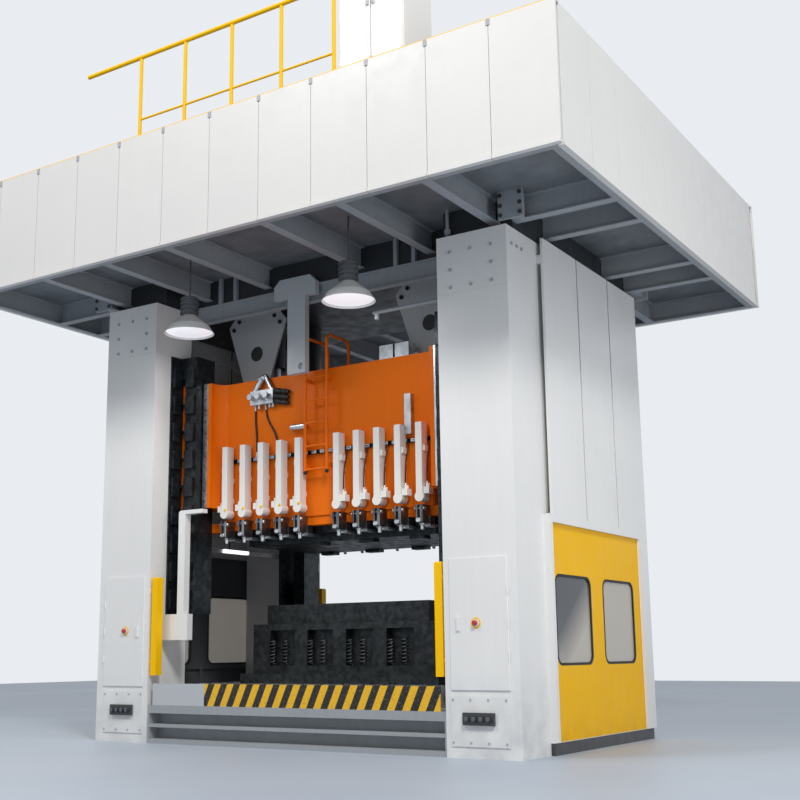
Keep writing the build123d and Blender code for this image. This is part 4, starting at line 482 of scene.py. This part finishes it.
def safety_glass():
    """Grey laminated glass: it lets light through, with a painted reflection low and at the back.
    """
    material, tree, place = start_material("grey_safety_glass")
    # Painted reflection, pale low down and towards the back.
    slope = add(tree, "VectorMath", {0: place, 1: REFLECTION_SLOPE}, operation="DOT_PRODUCT")
    painted_reflection = add(tree, "MapRange", {"Value": slope.outputs["Value"], "From Min": REFLECTION_ENDS,
                                  "From Max": REFLECTION_FULL})
    pane = add(tree, "Mix", {AMOUNT: painted_reflection.outputs[0], UNDER: linear("#4C5259"),
                             OVER: linear("#DDD5C9")}, data_type="RGBA")
    finish_material(material, {
        "Base Color": pane.outputs[MIXED],
        "Transmission Weight": 0.45,
        "IOR": 1.5,
        "Roughness": mottle(tree, place, size_mm=200.0, detail=6.0, low=0.03, high=0.12),
    })
    return material


window_glass = safety_glass()

# %% [markdown]
# ## Floor plate of the deck
# The deck is tear plate: steel with short raised lozenges that stop shoes from slipping.
# Modelled one by one they would be many thousands. Two waves that cross at right angles are
# multiplied and cut off near their tops instead. That leaves lozenges 20 mm long and 13 mm
# wide. Real ones lie crosswise by turns, and these all lie one way. The eye gets a fine,
# regular pattern on a worn grey floor.

# %% Tear plate
WAVE = 95.0
FOOT, TOP = 0.35, 0.6


def tear_plate():
    """Steel floor plate: the product of two crossed sines, kept where it is high."""
    material, tree, place = start_material("painted_tear_plate")
    axis = add(tree, "SeparateXYZ", {0: place})
    waves = []
    for first, second in ((WAVE, WAVE), (WAVE, -WAVE)):
        one = add(tree, "Math", {0: axis.outputs[0], 1: first}, operation="MULTIPLY")
        two = add(tree, "Math", {0: axis.outputs[1], 1: second}, operation="MULTIPLY")
        both = add(tree, "Math", {0: one.outputs[0], 1: two.outputs[0]}, operation="ADD")
        waves.append(add(tree, "Math", {0: both.outputs[0]}, operation="SINE").outputs[0])
    product = add(tree, "Math", {0: waves[0], 1: waves[1]}, operation="MULTIPLY")
    lozenge = add(tree, "MapRange", {"Value": product.outputs[0], "From Min": FOOT,
                                     "From Max": TOP})
    worn = add(tree, "Mix", {AMOUNT: lozenge.outputs[0], UNDER: linear("#83888C"),
                             OVER: linear("#A3A7AA")}, data_type="RGBA")
    stains = mottle(tree, place, size_mm=350.0, detail=7.0, high=0.5)
    stained = add(tree, "Mix", {AMOUNT: stains, UNDER: worn.outputs[MIXED],
                                OVER: linear("#5A5E61")}, data_type="RGBA")
    relief = add(tree, "Bump", {"Height": lozenge.outputs[0], "Strength": 0.8,
                                "Distance": 2.0 * MM})
    finish_material(material, {
        "Base Color": stained.outputs[MIXED],
        "Metallic": 0.3,
        "Roughness": 0.5,
        "Normal": relief.outputs[0],
    })
    return material


deck_steel = tear_plate()
print("one lozenge every", round(pi / WAVE / MM, 1), "mm")

# %% [markdown]
# ## Which finish goes on which solid
# The table below is all that ties the frame to its looks. The finishes could be set one by one
# in the material tab, but here every solid is named once, so one without a finish is found.

# %% Finish the solids
finishes = {
    white_enamel: "uprights_front uprights_rear head_blocks side_panels access_door_left "
                  "access_door_right top_cabinet safety_props balance_cylinders",
    frame_enamel: "door_frames",
    cover_enamel: "base_covers",
    fascia_enamel: "fascia_front fascia_rear fascia_sides",
    beam_enamel: "platform_frame front_rails bed",
    crown_shaded_enamel: "crown crown_cover",
    plate_enamel: "hanger_plates",
    duct_enamel: "service_duct",
    deck_steel: "deck_plates",
    orange_enamel: "slide ladder",
    door_enamel: "lift_door_left lift_door_right",
    yellow_enamel: "light_curtains handrail upper_railing",
    hazard_enamel: "guard_boards",
    ground_steel: "plungers balance_rods bolster drive_shaft motor_pulley tie_rods "
                  "connecting_rods centre_gear eccentric_gears",
    dark_guide: "guide_rails flywheel",
    cream_enamel: "clamp_magazines",
    fitting_steel: "slide_fittings",
    bolt_enamel: "frame_bolts",
    clamp_steel: "front_clamps rear_clamps",
    die_iron: "upper_die lower_die",
    blue_grey_enamel: "main_motor",
    black_rubber: "drive_belts door_gaskets_left door_gaskets_right clamp_hoses",
    window_glass: "door_glass_left door_glass_right",
    lamp_enamel: "lamp_housings",
    reflector_enamel: "lamp_shades",
    work_lamp: "work_light",
    button_red: "stop_button_left stop_button_right",
}
for finish, names in finishes.items():
    for name in names.split():
        mesh = nodes[name].data
        mesh.materials.clear()
        mesh.materials.append(finish)
bare = sorted(set(nodes) - {name for names in finishes.values() for name in names.split()})
print("solids with no finish:", bare)

# %% [markdown]
# ## How the small pieces are shaped
# The pieces that the solids leave out are turned, drawn or stamped. Each is a grid of points:
# a profile spun about an axis, a circle carried along a path, or a rounded outline with a
# bevel. Primitives with a bevel would do for some of them, but a grid gives the true profile.

# %% Shapes as grids
CUTS = 3


def across(direction):
    """Three unit vectors, of which the last is the direction."""
    along = np.array(direction, dtype=float)
    along /= np.linalg.norm(along)
    helper = np.array([0.0, 0.0, 1.0]) if abs(along[2]) < 0.9 else np.array([1.0, 0.0, 0.0])
    first = np.cross(helper, along)
    first /= np.linalg.norm(first)
    return first, np.cross(along, first), along


def turned(profile, places, direction, sides):
    """Spun: point = place + r cos(a) x + r sin(a) y + h z, for each (r, h) of the profile."""
    first, second, along = across(direction)
    radius, height = np.array(profile, dtype=float).T[:, :, None, None]
    angle = (np.arange(sides) * tau / sides)[None, :, None]
    grid = radius * (np.cos(angle) * first + np.sin(angle) * second) + height * along
    return np.atleast_2d(places)[:, None, None, :] + grid[None]


def drawn(points, radius, side, sides):
    """Carried along: corners are cut off three times, then a circle follows the path."""
    path = np.array(points, dtype=float)
    for _ in range(CUTS):
        near = 0.75 * path[:-1] + 0.25 * path[1:]
        far = 0.25 * path[:-1] + 0.75 * path[1:]
        middle = np.stack([near, far], 1).reshape(-1, 3)[1:-1]
        path = np.vstack([path[:1], middle, path[-1:]])
    along = np.gradient(path, axis=0)
    along /= np.linalg.norm(along, axis=1, keepdims=True)
    side = np.array(side, dtype=float)
    other = np.cross(along, side)
    angle = (np.arange(sides) * tau / sides)[None, :, None]
    return path[:, None] + radius * (np.cos(angle) * side + np.sin(angle) * other[:, None])


def stamped(width, height, corner, levels, places, direction, steps=6):
    """Stamped sheet: a rounded outline, drawn in by each (inset, rise) of the levels."""
    first, second, along = across(direction)
    quarter = np.repeat(np.arange(4), steps)
    angle = (quarter + np.tile(np.linspace(0, 1, steps), 4)) * pi / 2
    sign_x = np.array([1, -1, -1, 1])[quarter]
    sign_y = np.array([1, 1, -1, -1])[quarter]
    inset, rise = np.array(levels, dtype=float).T[:, :, None, None]
    angle, sign_x, sign_y = (row[None, :, None] for row in (angle, sign_x, sign_y))
    x = sign_x * (width / 2 - corner) + (corner - inset) * np.cos(angle)
    y = sign_y * (height / 2 - corner) + (corner - inset) * np.sin(angle)
    grid = x * first + y * second + rise * along
    return np.atleast_2d(places)[:, None, None, :] + grid[None]


# %% [markdown]
# ## From a grid to a piece
# The same grid is copied to every place at once, so a whole row of bolts is one piece. Its
# ends are capped, its poles are closed, and edges steeper than 35 degrees stay sharp. Then it
# is given its finish and hung on the body that it rides on.

# %% Make a piece
SHARP_DEGREES = 35.0
SAME_POINT_M = 1e-6


def piece(name, grids, finish, body, smooth=SHARP_DEGREES):
    """One object from a stack of closed grids (copies, rows, columns, 3), with its end caps."""
    grids = np.array(grids, dtype=float)
    grids = grids[None] if grids.ndim == 3 else grids
    copies, rows, columns = grids.shape[:3]
    index = np.arange(rows * columns).reshape(rows, columns)
    ring = np.hstack([index, index[:, :1]])
    quads = np.stack([ring[:-1, :-1], ring[1:, :-1], ring[1:, 1:], ring[:-1, 1:]], -1)
    shift = np.arange(copies) * rows * columns
    faces = (quads.reshape(1, -1, 4) + shift[:, None, None]).reshape(-1, 4).tolist()
    faces += (index[0] + shift[:, None]).tolist() + (index[-1][::-1] + shift[:, None]).tolist()
    mesh = bpy.data.meshes.new(name)
    mesh.from_pydata(grids.reshape(-1, 3).tolist(), [], faces)
    shape = bmesh.new()
    shape.from_mesh(mesh)
    bmesh.ops.remove_doubles(shape, verts=shape.verts, dist=SAME_POINT_M)
    bmesh.ops.recalc_face_normals(shape, faces=shape.faces)
    shape.to_mesh(mesh)
    shape.free()
    mesh.shade_smooth()
    mesh.set_sharp_from_angle(angle=radians(smooth))
    mesh.materials.append(finish)
    thing = bpy.data.objects.new(name, mesh)
    bpy.context.scene.collection.objects.link(thing)
    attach(thing, body)
    print(name, len(mesh.polygons), "faces")
    return thing


# %% [markdown]
# ## Screws and pipes on the slide
# Screws hold the wear strips beside the slide's wings. Steel pipes feed the clamp motors from
# the hose rail and end in a nut. Each pipe's path is given once, as how far it stands before
# the slide's face at each height. They ride on the slide, because the real ones go down
# with it.

# %% Screws, pipes and nipples
FACE_Y = -1.060
MAGAZINES = np.array([-1.5, -1.2, -0.9, -0.6, -0.3, 0.3, 0.6, 0.9, 1.2, 1.5])
STRIP_X, STRIP_Y = 1.80, -1.280
SCREW_HEAD = [(0.0, 0.010), (0.005, 0.0095), (0.009, 0.007), (0.011, 0.0), (0.011, -0.002)]
screw_z = np.arange(3.08, 4.66, 0.155)
screws = np.array([[x, STRIP_Y, z] for x in (-STRIP_X, STRIP_X) for z in screw_z])
piece("wear_strip_screws", turned(SCREW_HEAD, screws, (0, -1, 0), 12), black_bolt, "slide")

PIPE_R = 0.008
PIPE_ASIDE = 0.072
PIPE_PATH = [(0.012, 3.592), (0.030, 3.50), (0.075, 3.42), (0.100, 3.25), (0.100, 3.05)]
pipe_x = MAGAZINES + np.sign(MAGAZINES) * PIPE_ASIDE
pipes = np.stack([drawn([(x, FACE_Y - ahead, z) for ahead, z in PIPE_PATH], PIPE_R, (1, 0, 0), 8)
                  for x in pipe_x])
piece("clamp_motor_pipes", pipes, black_bolt, "slide")

NUT = [(0.0, 0.0), (0.013, 0.0), (0.013, 0.022), (0.010, 0.026), (0.0, 0.026)]
NUT_Z = 3.058
nuts = np.array([[x, FACE_Y - PIPE_PATH[-1][0], NUT_Z] for x in pipe_x])
piece("pipe_nuts", turned(NUT, nuts, (0, 0, 1), 6), zinc_plate, "slide")

NIPPLE_CAP = [(0.0, 0.009), (0.014, 0.008), (0.019, 0.004), (0.020, 0.0), (0.020, -0.001)]
NIPPLE_ASIDE, NIPPLE_Y, NIPPLE_Z = 0.024, -1.2305, 2.955
nipples = np.array([[x + NIPPLE_ASIDE, NIPPLE_Y, NIPPLE_Z] for x in MAGAZINES[:5]])
piece("grease_nipple_caps", turned(NIPPLE_CAP, nipples, (0, -1, 0), 16), yellow_enamel, "slide")

# %% [markdown]
# ## Round the valve block
# Three solenoids shift the spools of the valve block, and a union joins its two tubes. Its
# ports hang under it and have six sides, for a spanner. Small blocks along the hose rail share
# out the oil, and rubber caps close the ladder's stiles. The round ones could be stacked from
# cylinders, but a turned profile keeps each groove and shoulder in one mesh.

# %% Valve pieces, rail blocks and ladder caps
SOLENOID = [(0.0, 0.0), (0.028, 0.0), (0.034, 0.006), (0.034, 0.110), (0.026, 0.116),
            (0.026, 0.128), (0.034, 0.134), (0.034, 0.205), (0.024, 0.214), (0.024, 0.244),
            (0.0, 0.246)]
coils = np.array([[-0.764, -1.104, z] for z in (4.352, 4.427, 4.502)])
piece("valve_solenoids", turned(SOLENOID, coils, (1, 0, -0.20), 24), black_rubber, "slide")

UNION = [(0.0, -0.075), (0.030, -0.075), (0.034, -0.071), (0.034, -0.045), (0.044, -0.040),
         (0.046, -0.020), (0.046, 0.020), (0.044, 0.040), (0.034, 0.045), (0.034, 0.071),
         (0.030, 0.075), (0.0, 0.075)]
UNION_PLACE = [[-0.950, -1.108, 4.690]]
piece("valve_union", turned(UNION, UNION_PLACE, (1, 0, 0.12), 24), zinc_plate, "slide")

PORT = [(0.0, 0.0), (0.026, 0.0), (0.026, 0.014), (0.018, 0.016), (0.018, 0.040),
        (0.022, 0.044), (0.022, 0.058), (0.0, 0.060)]
ports = np.array([[x, -1.105, 4.338] for x in (-1.020, -0.845, -0.790)])
piece("valve_ports", turned(PORT, ports, (0, 0, -1), 6), zinc_plate, "slide")

BLOCK = [(0.0, -0.010), (0.0, 0.012), (0.005, 0.017), (0.016, 0.017), (0.018, 0.014)]
BLOCK_PITCH = 0.135
blocks = np.array([[x, -1.085, 3.615] for x in np.arange(-1.35, 1.40, BLOCK_PITCH)])
piece("rail_blocks", stamped(0.078, 0.044, 0.008, BLOCK, blocks, (0, -1, 0), 3), zinc_plate,
      "slide")

STILE_CAP = [(0.0, -0.014), (0.012, -0.012), (0.021, -0.004), (0.0235, 0.004),
             (0.0235, 0.030), (0.021, 0.032)]
stile_feet = np.array([[-0.213, -1.170, 3.330], [0.123, -1.170, 3.330]])
piece("ladder_end_caps", turned(STILE_CAP, stile_feet, (0, 0, 1), 20), black_rubber, "slide")

# %% [markdown]
# ## On the clamps
# A hexagon nut locks each clamp's stem, domed caps keep its cross pin in place, and a bright
# cover closes its cylinder. Each could be an object of its own, but ten alike are one grid at
# ten places, so that one change reaches them all. They ride on their row of clamps, front or
# rear, which slides outwards on its own.

# %% Clamp pieces
STEM_NUT = [(0.0, 0.0), (0.037, 0.0), (0.041, 0.003), (0.041, 0.017), (0.037, 0.020), (0.0, 0.020)]
PIN_CAP = [(0.026, -0.001), (0.026, 0.003), (0.022, 0.008), (0.012, 0.011), (0.0, 0.012)]
COVER = [(0.0, -0.001), (0.0, 0.010), (0.003, 0.014), (0.014, 0.014), (0.017, 0.011)]
STEM_Y, STEM_NUT_Z = 1.160, 2.570
PIN_HALF, PIN_Y, PIN_Z = 0.062, 1.214, 2.758
COVER_Y, COVER_Z = 1.250, 2.620
for row, side in (("front", -1.0), ("rear", 1.0)):
    body = row + "_clamps"
    stems = np.array([[x, side * STEM_Y, STEM_NUT_Z] for x in MAGAZINES])
    piece(body + "_nuts", turned(STEM_NUT, stems, (0, 0, 1), 6), zinc_plate, body)
    caps = np.concatenate([turned(PIN_CAP, [[x + end * PIN_HALF, side * PIN_Y, PIN_Z]
                                            for x in MAGAZINES], (end, 0, 0), 20)
                           for end in (-1, 1)])
    piece(body + "_pin_caps", caps, zinc_plate, body)
    fronts = np.array([[x, side * COVER_Y, COVER_Z] for x in MAGAZINES])
    piece(body + "_covers", stamped(0.066, 0.046, 0.021, COVER, fronts, (0, side, 0)),
          zinc_plate, body)

# %% [markdown]
# ## Hoses of the valve block
# Two rubber hoses hang from the valve block to the rail. A hose that bends freely has no
# corners, so each is a NURBS spline of order 3: it starts and ends on the first and last point
# and is drawn towards the points between. A ferrule is swaged on each end.

# %% Hoses
HOSE_R = 0.013
FERRULE = [(0.0, 0.0), (0.019, 0.0), (0.019, 0.020), (0.0155, 0.024), (0.0155, 0.062),
           (0.0138, 0.066), (0.0, 0.066)]
HOSES = {
    "clamp_hose": (0.691, [(-1.105, -1.074, 4.330), (-1.105, -1.074, 4.150),
                           (-1.075, -1.074, 3.880), (-1.075, -1.074, 3.640)]),
    "unclamp_hose": (0.748, [(-0.930, -1.074, 4.330), (-0.930, -1.074, 4.150),
                             (-0.720, -1.074, 3.880), (-0.720, -1.074, 3.640)]),
}


def hose(name, route):
    """A free hose along its route, with a ferrule on each end."""
    curve = bpy.data.curves.new(name, "CURVE")
    curve.dimensions = "3D"
    curve.bevel_depth = HOSE_R
    curve.bevel_resolution = 4
    curve.resolution_u = 16
    curve.use_fill_caps = True
    spline = curve.splines.new("NURBS")
    spline.points.add(len(route) - 1)
    for point, place in zip(spline.points, route):
        point.co = (*place, 1.0)
    spline.order_u = 3
    spline.use_endpoint_u = True
    curve.materials.append(black_rubber)
    thing = bpy.data.objects.new(name, curve)
    bpy.context.scene.collection.objects.link(thing)
    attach(thing, "slide")
    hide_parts("clamp_hoses")
    ends = np.concatenate([turned(FERRULE, route[0], (0, 0, -1), 18),
                           turned(FERRULE, route[-1], (0, 0, 1), 18)])
    ferrules = piece(name + "_ferrules", ends, zinc_plate, "slide")


for name, (length, route) in HOSES.items():
    hose(name, route)

# %% [markdown]
# ## Lamps, buttons, sockets and joint strips
# An opal lens closes each white reflector and spreads its light. Each stop button stands on a
# yellow ring, so that it is found at once, and each capped socket has a ring that locks it. A
# black rubber strip lies in each joint between two side panels, as painted shade for the shadow
# in the joint. They could be painted on, but a low edge that catches the light is what shows
# that they are there.

# %% Lamp lenses, button discs, socket rings and dark joint strips
LENS = [(0.0, -0.006), (0.10, -0.003), (0.20, 0.006), (0.27, 0.015), (0.288, 0.021),
        (0.285, 0.026), (0.0, 0.030)]
LAMP_X, LAMP_Y, LENS_Z = 1.224, -2.28, 5.087
lenses = np.array([[-LAMP_X, LAMP_Y, LENS_Z], [LAMP_X, LAMP_Y, LENS_Z]])
piece("lamp_lenses", turned(LENS, lenses, (0, 0, 1), 48), lamp_glow, "frame")

DISC = [(0.043, 0.0), (0.046, 0.003), (0.058, 0.003), (0.060, 0.0)]
BUTTON_X, BUTTON_Y, BUTTON_Z = 2.57, -1.8955, 1.395
for side, x in (("left", -BUTTON_X), ("right", BUTTON_X)):
    disc = turned(DISC, [[x, BUTTON_Y, BUTTON_Z]], (0, -1, 0), 32)
    piece("button_disc_" + side, disc, yellow_enamel, "access_door_" + side)

RING = [(0.0, 0.004), (0.020, 0.004), (0.024, 0.001), (0.0245, -0.001)]
SOCKETS_MIDDLE, SOCKET_PITCH = 2.585, 0.085
socket_x = SOCKETS_MIDDLE + (np.arange(4) - 1.5) * SOCKET_PITCH
rings = np.array([[side * x, -1.967, 0.405] for side in (-1, 1) for x in socket_x])
piece("socket_caps", turned(RING, rings, (0, -1, 0), 20), lamp_enamel, "frame")

# Black strips in the side panels' joints: painted shade for the shadow in each joint.
STRIP = [(0.0, -0.006), (0.0, 0.0), (0.003, 0.004), (0.005, 0.005)]
JOINT_STRIP_W, JOINT_STRIP_H, JOINT_STRIP_CORNER = 0.026, 3.19, 0.007
PANEL_X, JOINT_STRIP_MIDDLE_Z = 3.130, 4.195
JOINTS_Y = (-0.155, 0.825)
joint_shade_strips = np.concatenate([stamped(JOINT_STRIP_W, JOINT_STRIP_H, JOINT_STRIP_CORNER, STRIP,
                                [[side * PANEL_X, y, JOINT_STRIP_MIDDLE_Z] for y in JOINTS_Y],
                                (side, 0, 0), 3) for side in (-1, 1)])
piece("panel_joint_shade_strips", joint_shade_strips, black_rubber, "frame")

# %% [markdown]
# ## Motor and cabinet on top
# The main motor is cooled by fins along its housing, and a cowl covers its fan. Forty separate
# fins would be forty meshes, so they are one ring of points whose radius steps out for three
# points in every eight. The cabinet has two doors of folded sheet with a handle each. A foot
# plate is welded under each post of the tall railing.

# %% Motor fins
FINS = 40
POINTS_A_FIN, POINTS_RAISED = 8, 3
FIN_HEIGHT = 0.020
HOUSING_R, FIN_ROOT_R = 0.250, 0.251
MOTOR_X, MOTOR_Z = 0.65, 8.25
count = FINS * POINTS_A_FIN
angle = np.arange(count) * tau / count
out = np.arange(count) % POINTS_A_FIN < POINTS_RAISED
tooth = (HOUSING_R + FIN_HEIGHT * out)[None, :, None]
spine = np.array([0.80, 0.802, 1.260, 1.262])[:, None, None]
raised = np.array([0.0, 1.0, 1.0, 0.0])[:, None, None]
reach = FIN_ROOT_R + (tooth - HOUSING_R) * raised
fins = np.concatenate([MOTOR_X + reach * np.cos(angle)[None, :, None],
                       spine + 0 * reach,
                       MOTOR_Z + reach * np.sin(angle)[None, :, None]], -1)
piece("motor_fins", fins, blue_grey_enamel, "frame", smooth=20.0)

# %% Fan cowl, cabinet doors and post feet
COWL = [(0.0, 0.004), (0.060, 0.004), (0.062, 0.014), (0.090, 0.014), (0.092, 0.004),
        (0.120, 0.004), (0.122, 0.014), (0.150, 0.014), (0.152, 0.004), (0.200, 0.002),
        (0.210, -0.010)]
COWL_PLACE = [[MOTOR_X, 0.61, MOTOR_Z]]
piece("fan_cowl", turned(COWL, COWL_PLACE, (0, -1, 0), 40), blue_grey_enamel, "frame")

LEAF = [(0.0, 0.0), (0.0, 0.014), (0.004, 0.018), (0.030, 0.018), (0.034, 0.012)]
leaves = np.array([[1.965, -3.202, 8.14], [2.375, -3.202, 8.14]])
piece("cabinet_leaves", stamped(0.395, 1.42, 0.036, LEAF, leaves, (0, -1, 0)), white_enamel,
      "frame")

GRIP = [(0.0, 0.0), (0.0, 0.012), (0.006, 0.020), (0.010, 0.021)]
grips = np.array([[2.135, -3.220, 8.14], [2.205, -3.220, 8.14]])
piece("cabinet_grips", stamped(0.030, 0.150, 0.012, GRIP, grips, (0, -1, 0)), duct_enamel,
      "frame")

FLANGE = [(0.0, 0.010), (0.050, 0.010), (0.054, 0.006), (0.054, 0.0)]
FIRST_POST_X, POST_PITCH = -1.310, 0.741
feet = np.array([[FIRST_POST_X + POST_PITCH * k, -3.175, 7.400] for k in range(5)])
piece("railing_feet", turned(FLANGE, feet, (0, 0, 1), 24), yellow_enamel, "frame")

# %% [markdown]
# ## Die springs
# Coil springs lift the lower die's binder. A Screw modifier would wind one too, but a formula
# makes all sixteen one mesh. A coil is a circle carried along a helix: the distance from its
# axis is R + r cos(b), and its height is the pitch times the turns + r sin(b).

# %% Die springs
SPRING_R, WIRE_R, SPRING_H, SPRING_TURNS = 0.042, 0.010, 0.300, 7
SPRING_Y, SPRING_Z, PAIR_HALF = 0.790, 0.955, 0.1
POCKETS = (-0.9, -0.3, 0.3, 0.9)
turn_a = np.linspace(0, SPRING_TURNS * tau, SPRING_TURNS * 18 + 1)[:, None]
wire_b = (np.arange(8) * tau / 8)[None, :]
ring_r = SPRING_R + WIRE_R * np.cos(wire_b)
coil = np.stack([ring_r * np.cos(turn_a), ring_r * np.sin(turn_a),
                 SPRING_H * turn_a / (SPRING_TURNS * tau) + WIRE_R * np.sin(wire_b)], -1)
spots = np.array([[x + s, y, SPRING_Z] for x in POCKETS for s in (-PAIR_HALF, PAIR_HALF)
                  for y in (-SPRING_Y, SPRING_Y)])
piece("die_springs", spots[:, None, None, :] + coil[None], black_bolt, "frame")

# %% [markdown]
# ## Floor and sky
# A pale floor and even light show the press as in a catalogue. A studio backdrop would end
# somewhere, so the floor is simply wide, and the world stands behind it. The world gives a
# little light from all sides, and is paler where the camera, a reflection or a pane looks
# straight at it.

# %% Floor
FLOOR_M = 60.0


def pale_floor():
    """Sealed concrete: pale, a little cloudy, half glossy."""
    material, tree, place = start_material("pale_sealed_floor")
    clouds = mottle(tree, place, size_mm=2600.0, detail=5.0, high=0.5)
    cloudy = add(tree, "Mix", {AMOUNT: clouds, UNDER: linear("#B6BECA"),
                               OVER: linear("#A6B2C1")}, data_type="RGBA")
    finish_material(material, {"Base Color": cloudy.outputs[MIXED], "Roughness": 0.5})
    return material


half = FLOOR_M / 2
corners = [(-half, -half, 0), (half, -half, 0), (half, half, 0), (-half, half, 0)]
floor_mesh = bpy.data.meshes.new("floor")
floor_mesh.from_pydata(corners, [], [(0, 1, 2, 3)])
floor = bpy.data.objects.new("floor", floor_mesh)
bpy.context.scene.collection.objects.link(floor)
floor.data.materials.append(pale_floor())
print("floor:", FLOOR_M, "m wide")

# %% Sky
HORIZON = "#E9EDF1"
SOFT_LIGHT = (0.90, 0.95, 1.0, 1.0)
SOFT_STRENGTH = 0.395

world = bpy.data.worlds.new("studio")
world.use_nodes = True
bpy.context.scene.world = world
sky = world.node_tree
sky.nodes.clear()
seen = add(sky, "LightPath")
shown = add(sky, "Math", {0: seen.outputs["Is Camera Ray"], 1: seen.outputs["Is Glossy Ray"]},
            operation="MAXIMUM")
shown = add(sky, "Math", {0: shown.outputs[0], 1: seen.outputs["Is Transmission Ray"]},
            operation="MAXIMUM")
soft = add(sky, "Background", {"Color": SOFT_LIGHT, "Strength": SOFT_STRENGTH})
plain = add(sky, "Background", {"Color": linear(HORIZON), "Strength": 1.0})
mixed = add(sky, "MixShader", {0: shown.outputs[0], 1: soft.outputs[0], 2: plain.outputs[0]})
add(sky, "OutputWorld", {0: mixed.outputs[0]})
print("soft light from all sides:", SOFT_STRENGTH)

# %% [markdown]
# ## Lamps
# Two large lamps high in front light the press. They put the edge of the platform's shadow
# across the upper part of the uprights. A narrow lamp low at the right lights the side panels
# below the platform, and the press's own two lamps brighten the slide in the shadow. A large
# lamp gives a soft shadow edge, and a small spread keeps light off the rest.


# %% Lamps
def area_lamp(name, place, target, size, power, colour, spread=180.0):
    """A square soft lamp that points at a target and isn't seen itself."""
    lamp = bpy.data.lights.new(name, "AREA")
    lamp.size = size
    lamp.spread = radians(spread)
    lamp.energy = power
    lamp.color = colour
    holder = bpy.data.objects.new(name, lamp)
    holder.location = place
    holder.rotation_euler = (Vector(target) - Vector(place)).to_track_quat("-Z", "Y").to_euler()
    holder.visible_camera = False
    bpy.context.scene.collection.objects.link(holder)
    print(name, power, "W")


WARM = (1.0, 0.985, 0.955)
WHITE = (1.0, 1.0, 1.0)
PRESS_MIDDLE = (0.0, 0.0, 4.0)
SIDE_PANELS = (3.1, -0.2, 3.8)
BELOW_LENS = 0.02
area_lamp("rig_lamp_right", (13.0, -13.0, 16.7), PRESS_MIDDLE, size=3.5, power=2580.0,
          colour=WARM)
area_lamp("rig_lamp_left", (-7.0, -14.0, 17.7), PRESS_MIDDLE, size=4.5, power=1220.0,
          colour=WARM)
area_lamp("side_light", (16.0, -4.0, 2.2), SIDE_PANELS, size=5.0, power=46.0, colour=WHITE,
          spread=54.0)
for index, (x, y, z) in enumerate(lenses):
    area_lamp(f"press_lamp_{index}", (x, y, z - BELOW_LENS), (x, y, 0.0), size=0.40,
              power=11.0, colour=WHITE)

# %% [markdown]
# ## Camera
# The camera stands at the height of a chest, right of the press, and looks up at it. It could
# be placed by eye, but its place, its turn and its focal length come from fitting the
# machine's straight edges. The small shift keeps the picture's middle where it was.

# %% Camera
CAMERA_PLACE = (8.604, -13.132, 1.095)
CAMERA_TURN = radians(33.54)
CAMERA_TILT = radians(11.09)
CAMERA_ROLL = radians(-0.47)
SENSOR_MM = 36.0
FOCAL_MM = 53.12
SHIFT_X, SHIFT_Y = 0.0462, 0.0267
FARTHEST_M = 200.0

optics = bpy.data.cameras.new("camera")
optics.sensor_width = SENSOR_MM
optics.lens = FOCAL_MM
optics.shift_x = SHIFT_X
optics.shift_y = SHIFT_Y
optics.clip_end = FARTHEST_M
camera = bpy.data.objects.new("camera", optics)
turn = Matrix.Rotation(CAMERA_TURN, 4, "Z") @ Matrix.Rotation(pi / 2 + CAMERA_TILT, 4, "X")
camera.matrix_world = (Matrix.Translation(CAMERA_PLACE) @ turn
                       @ Matrix.Rotation(CAMERA_ROLL, 4, "Z"))
bpy.context.scene.collection.objects.link(camera)
bpy.context.scene.camera = camera
bpy.context.scene.view_settings.view_transform = "Standard"
print("camera:", CAMERA_PLACE, "focal length", FOCAL_MM, "mm")
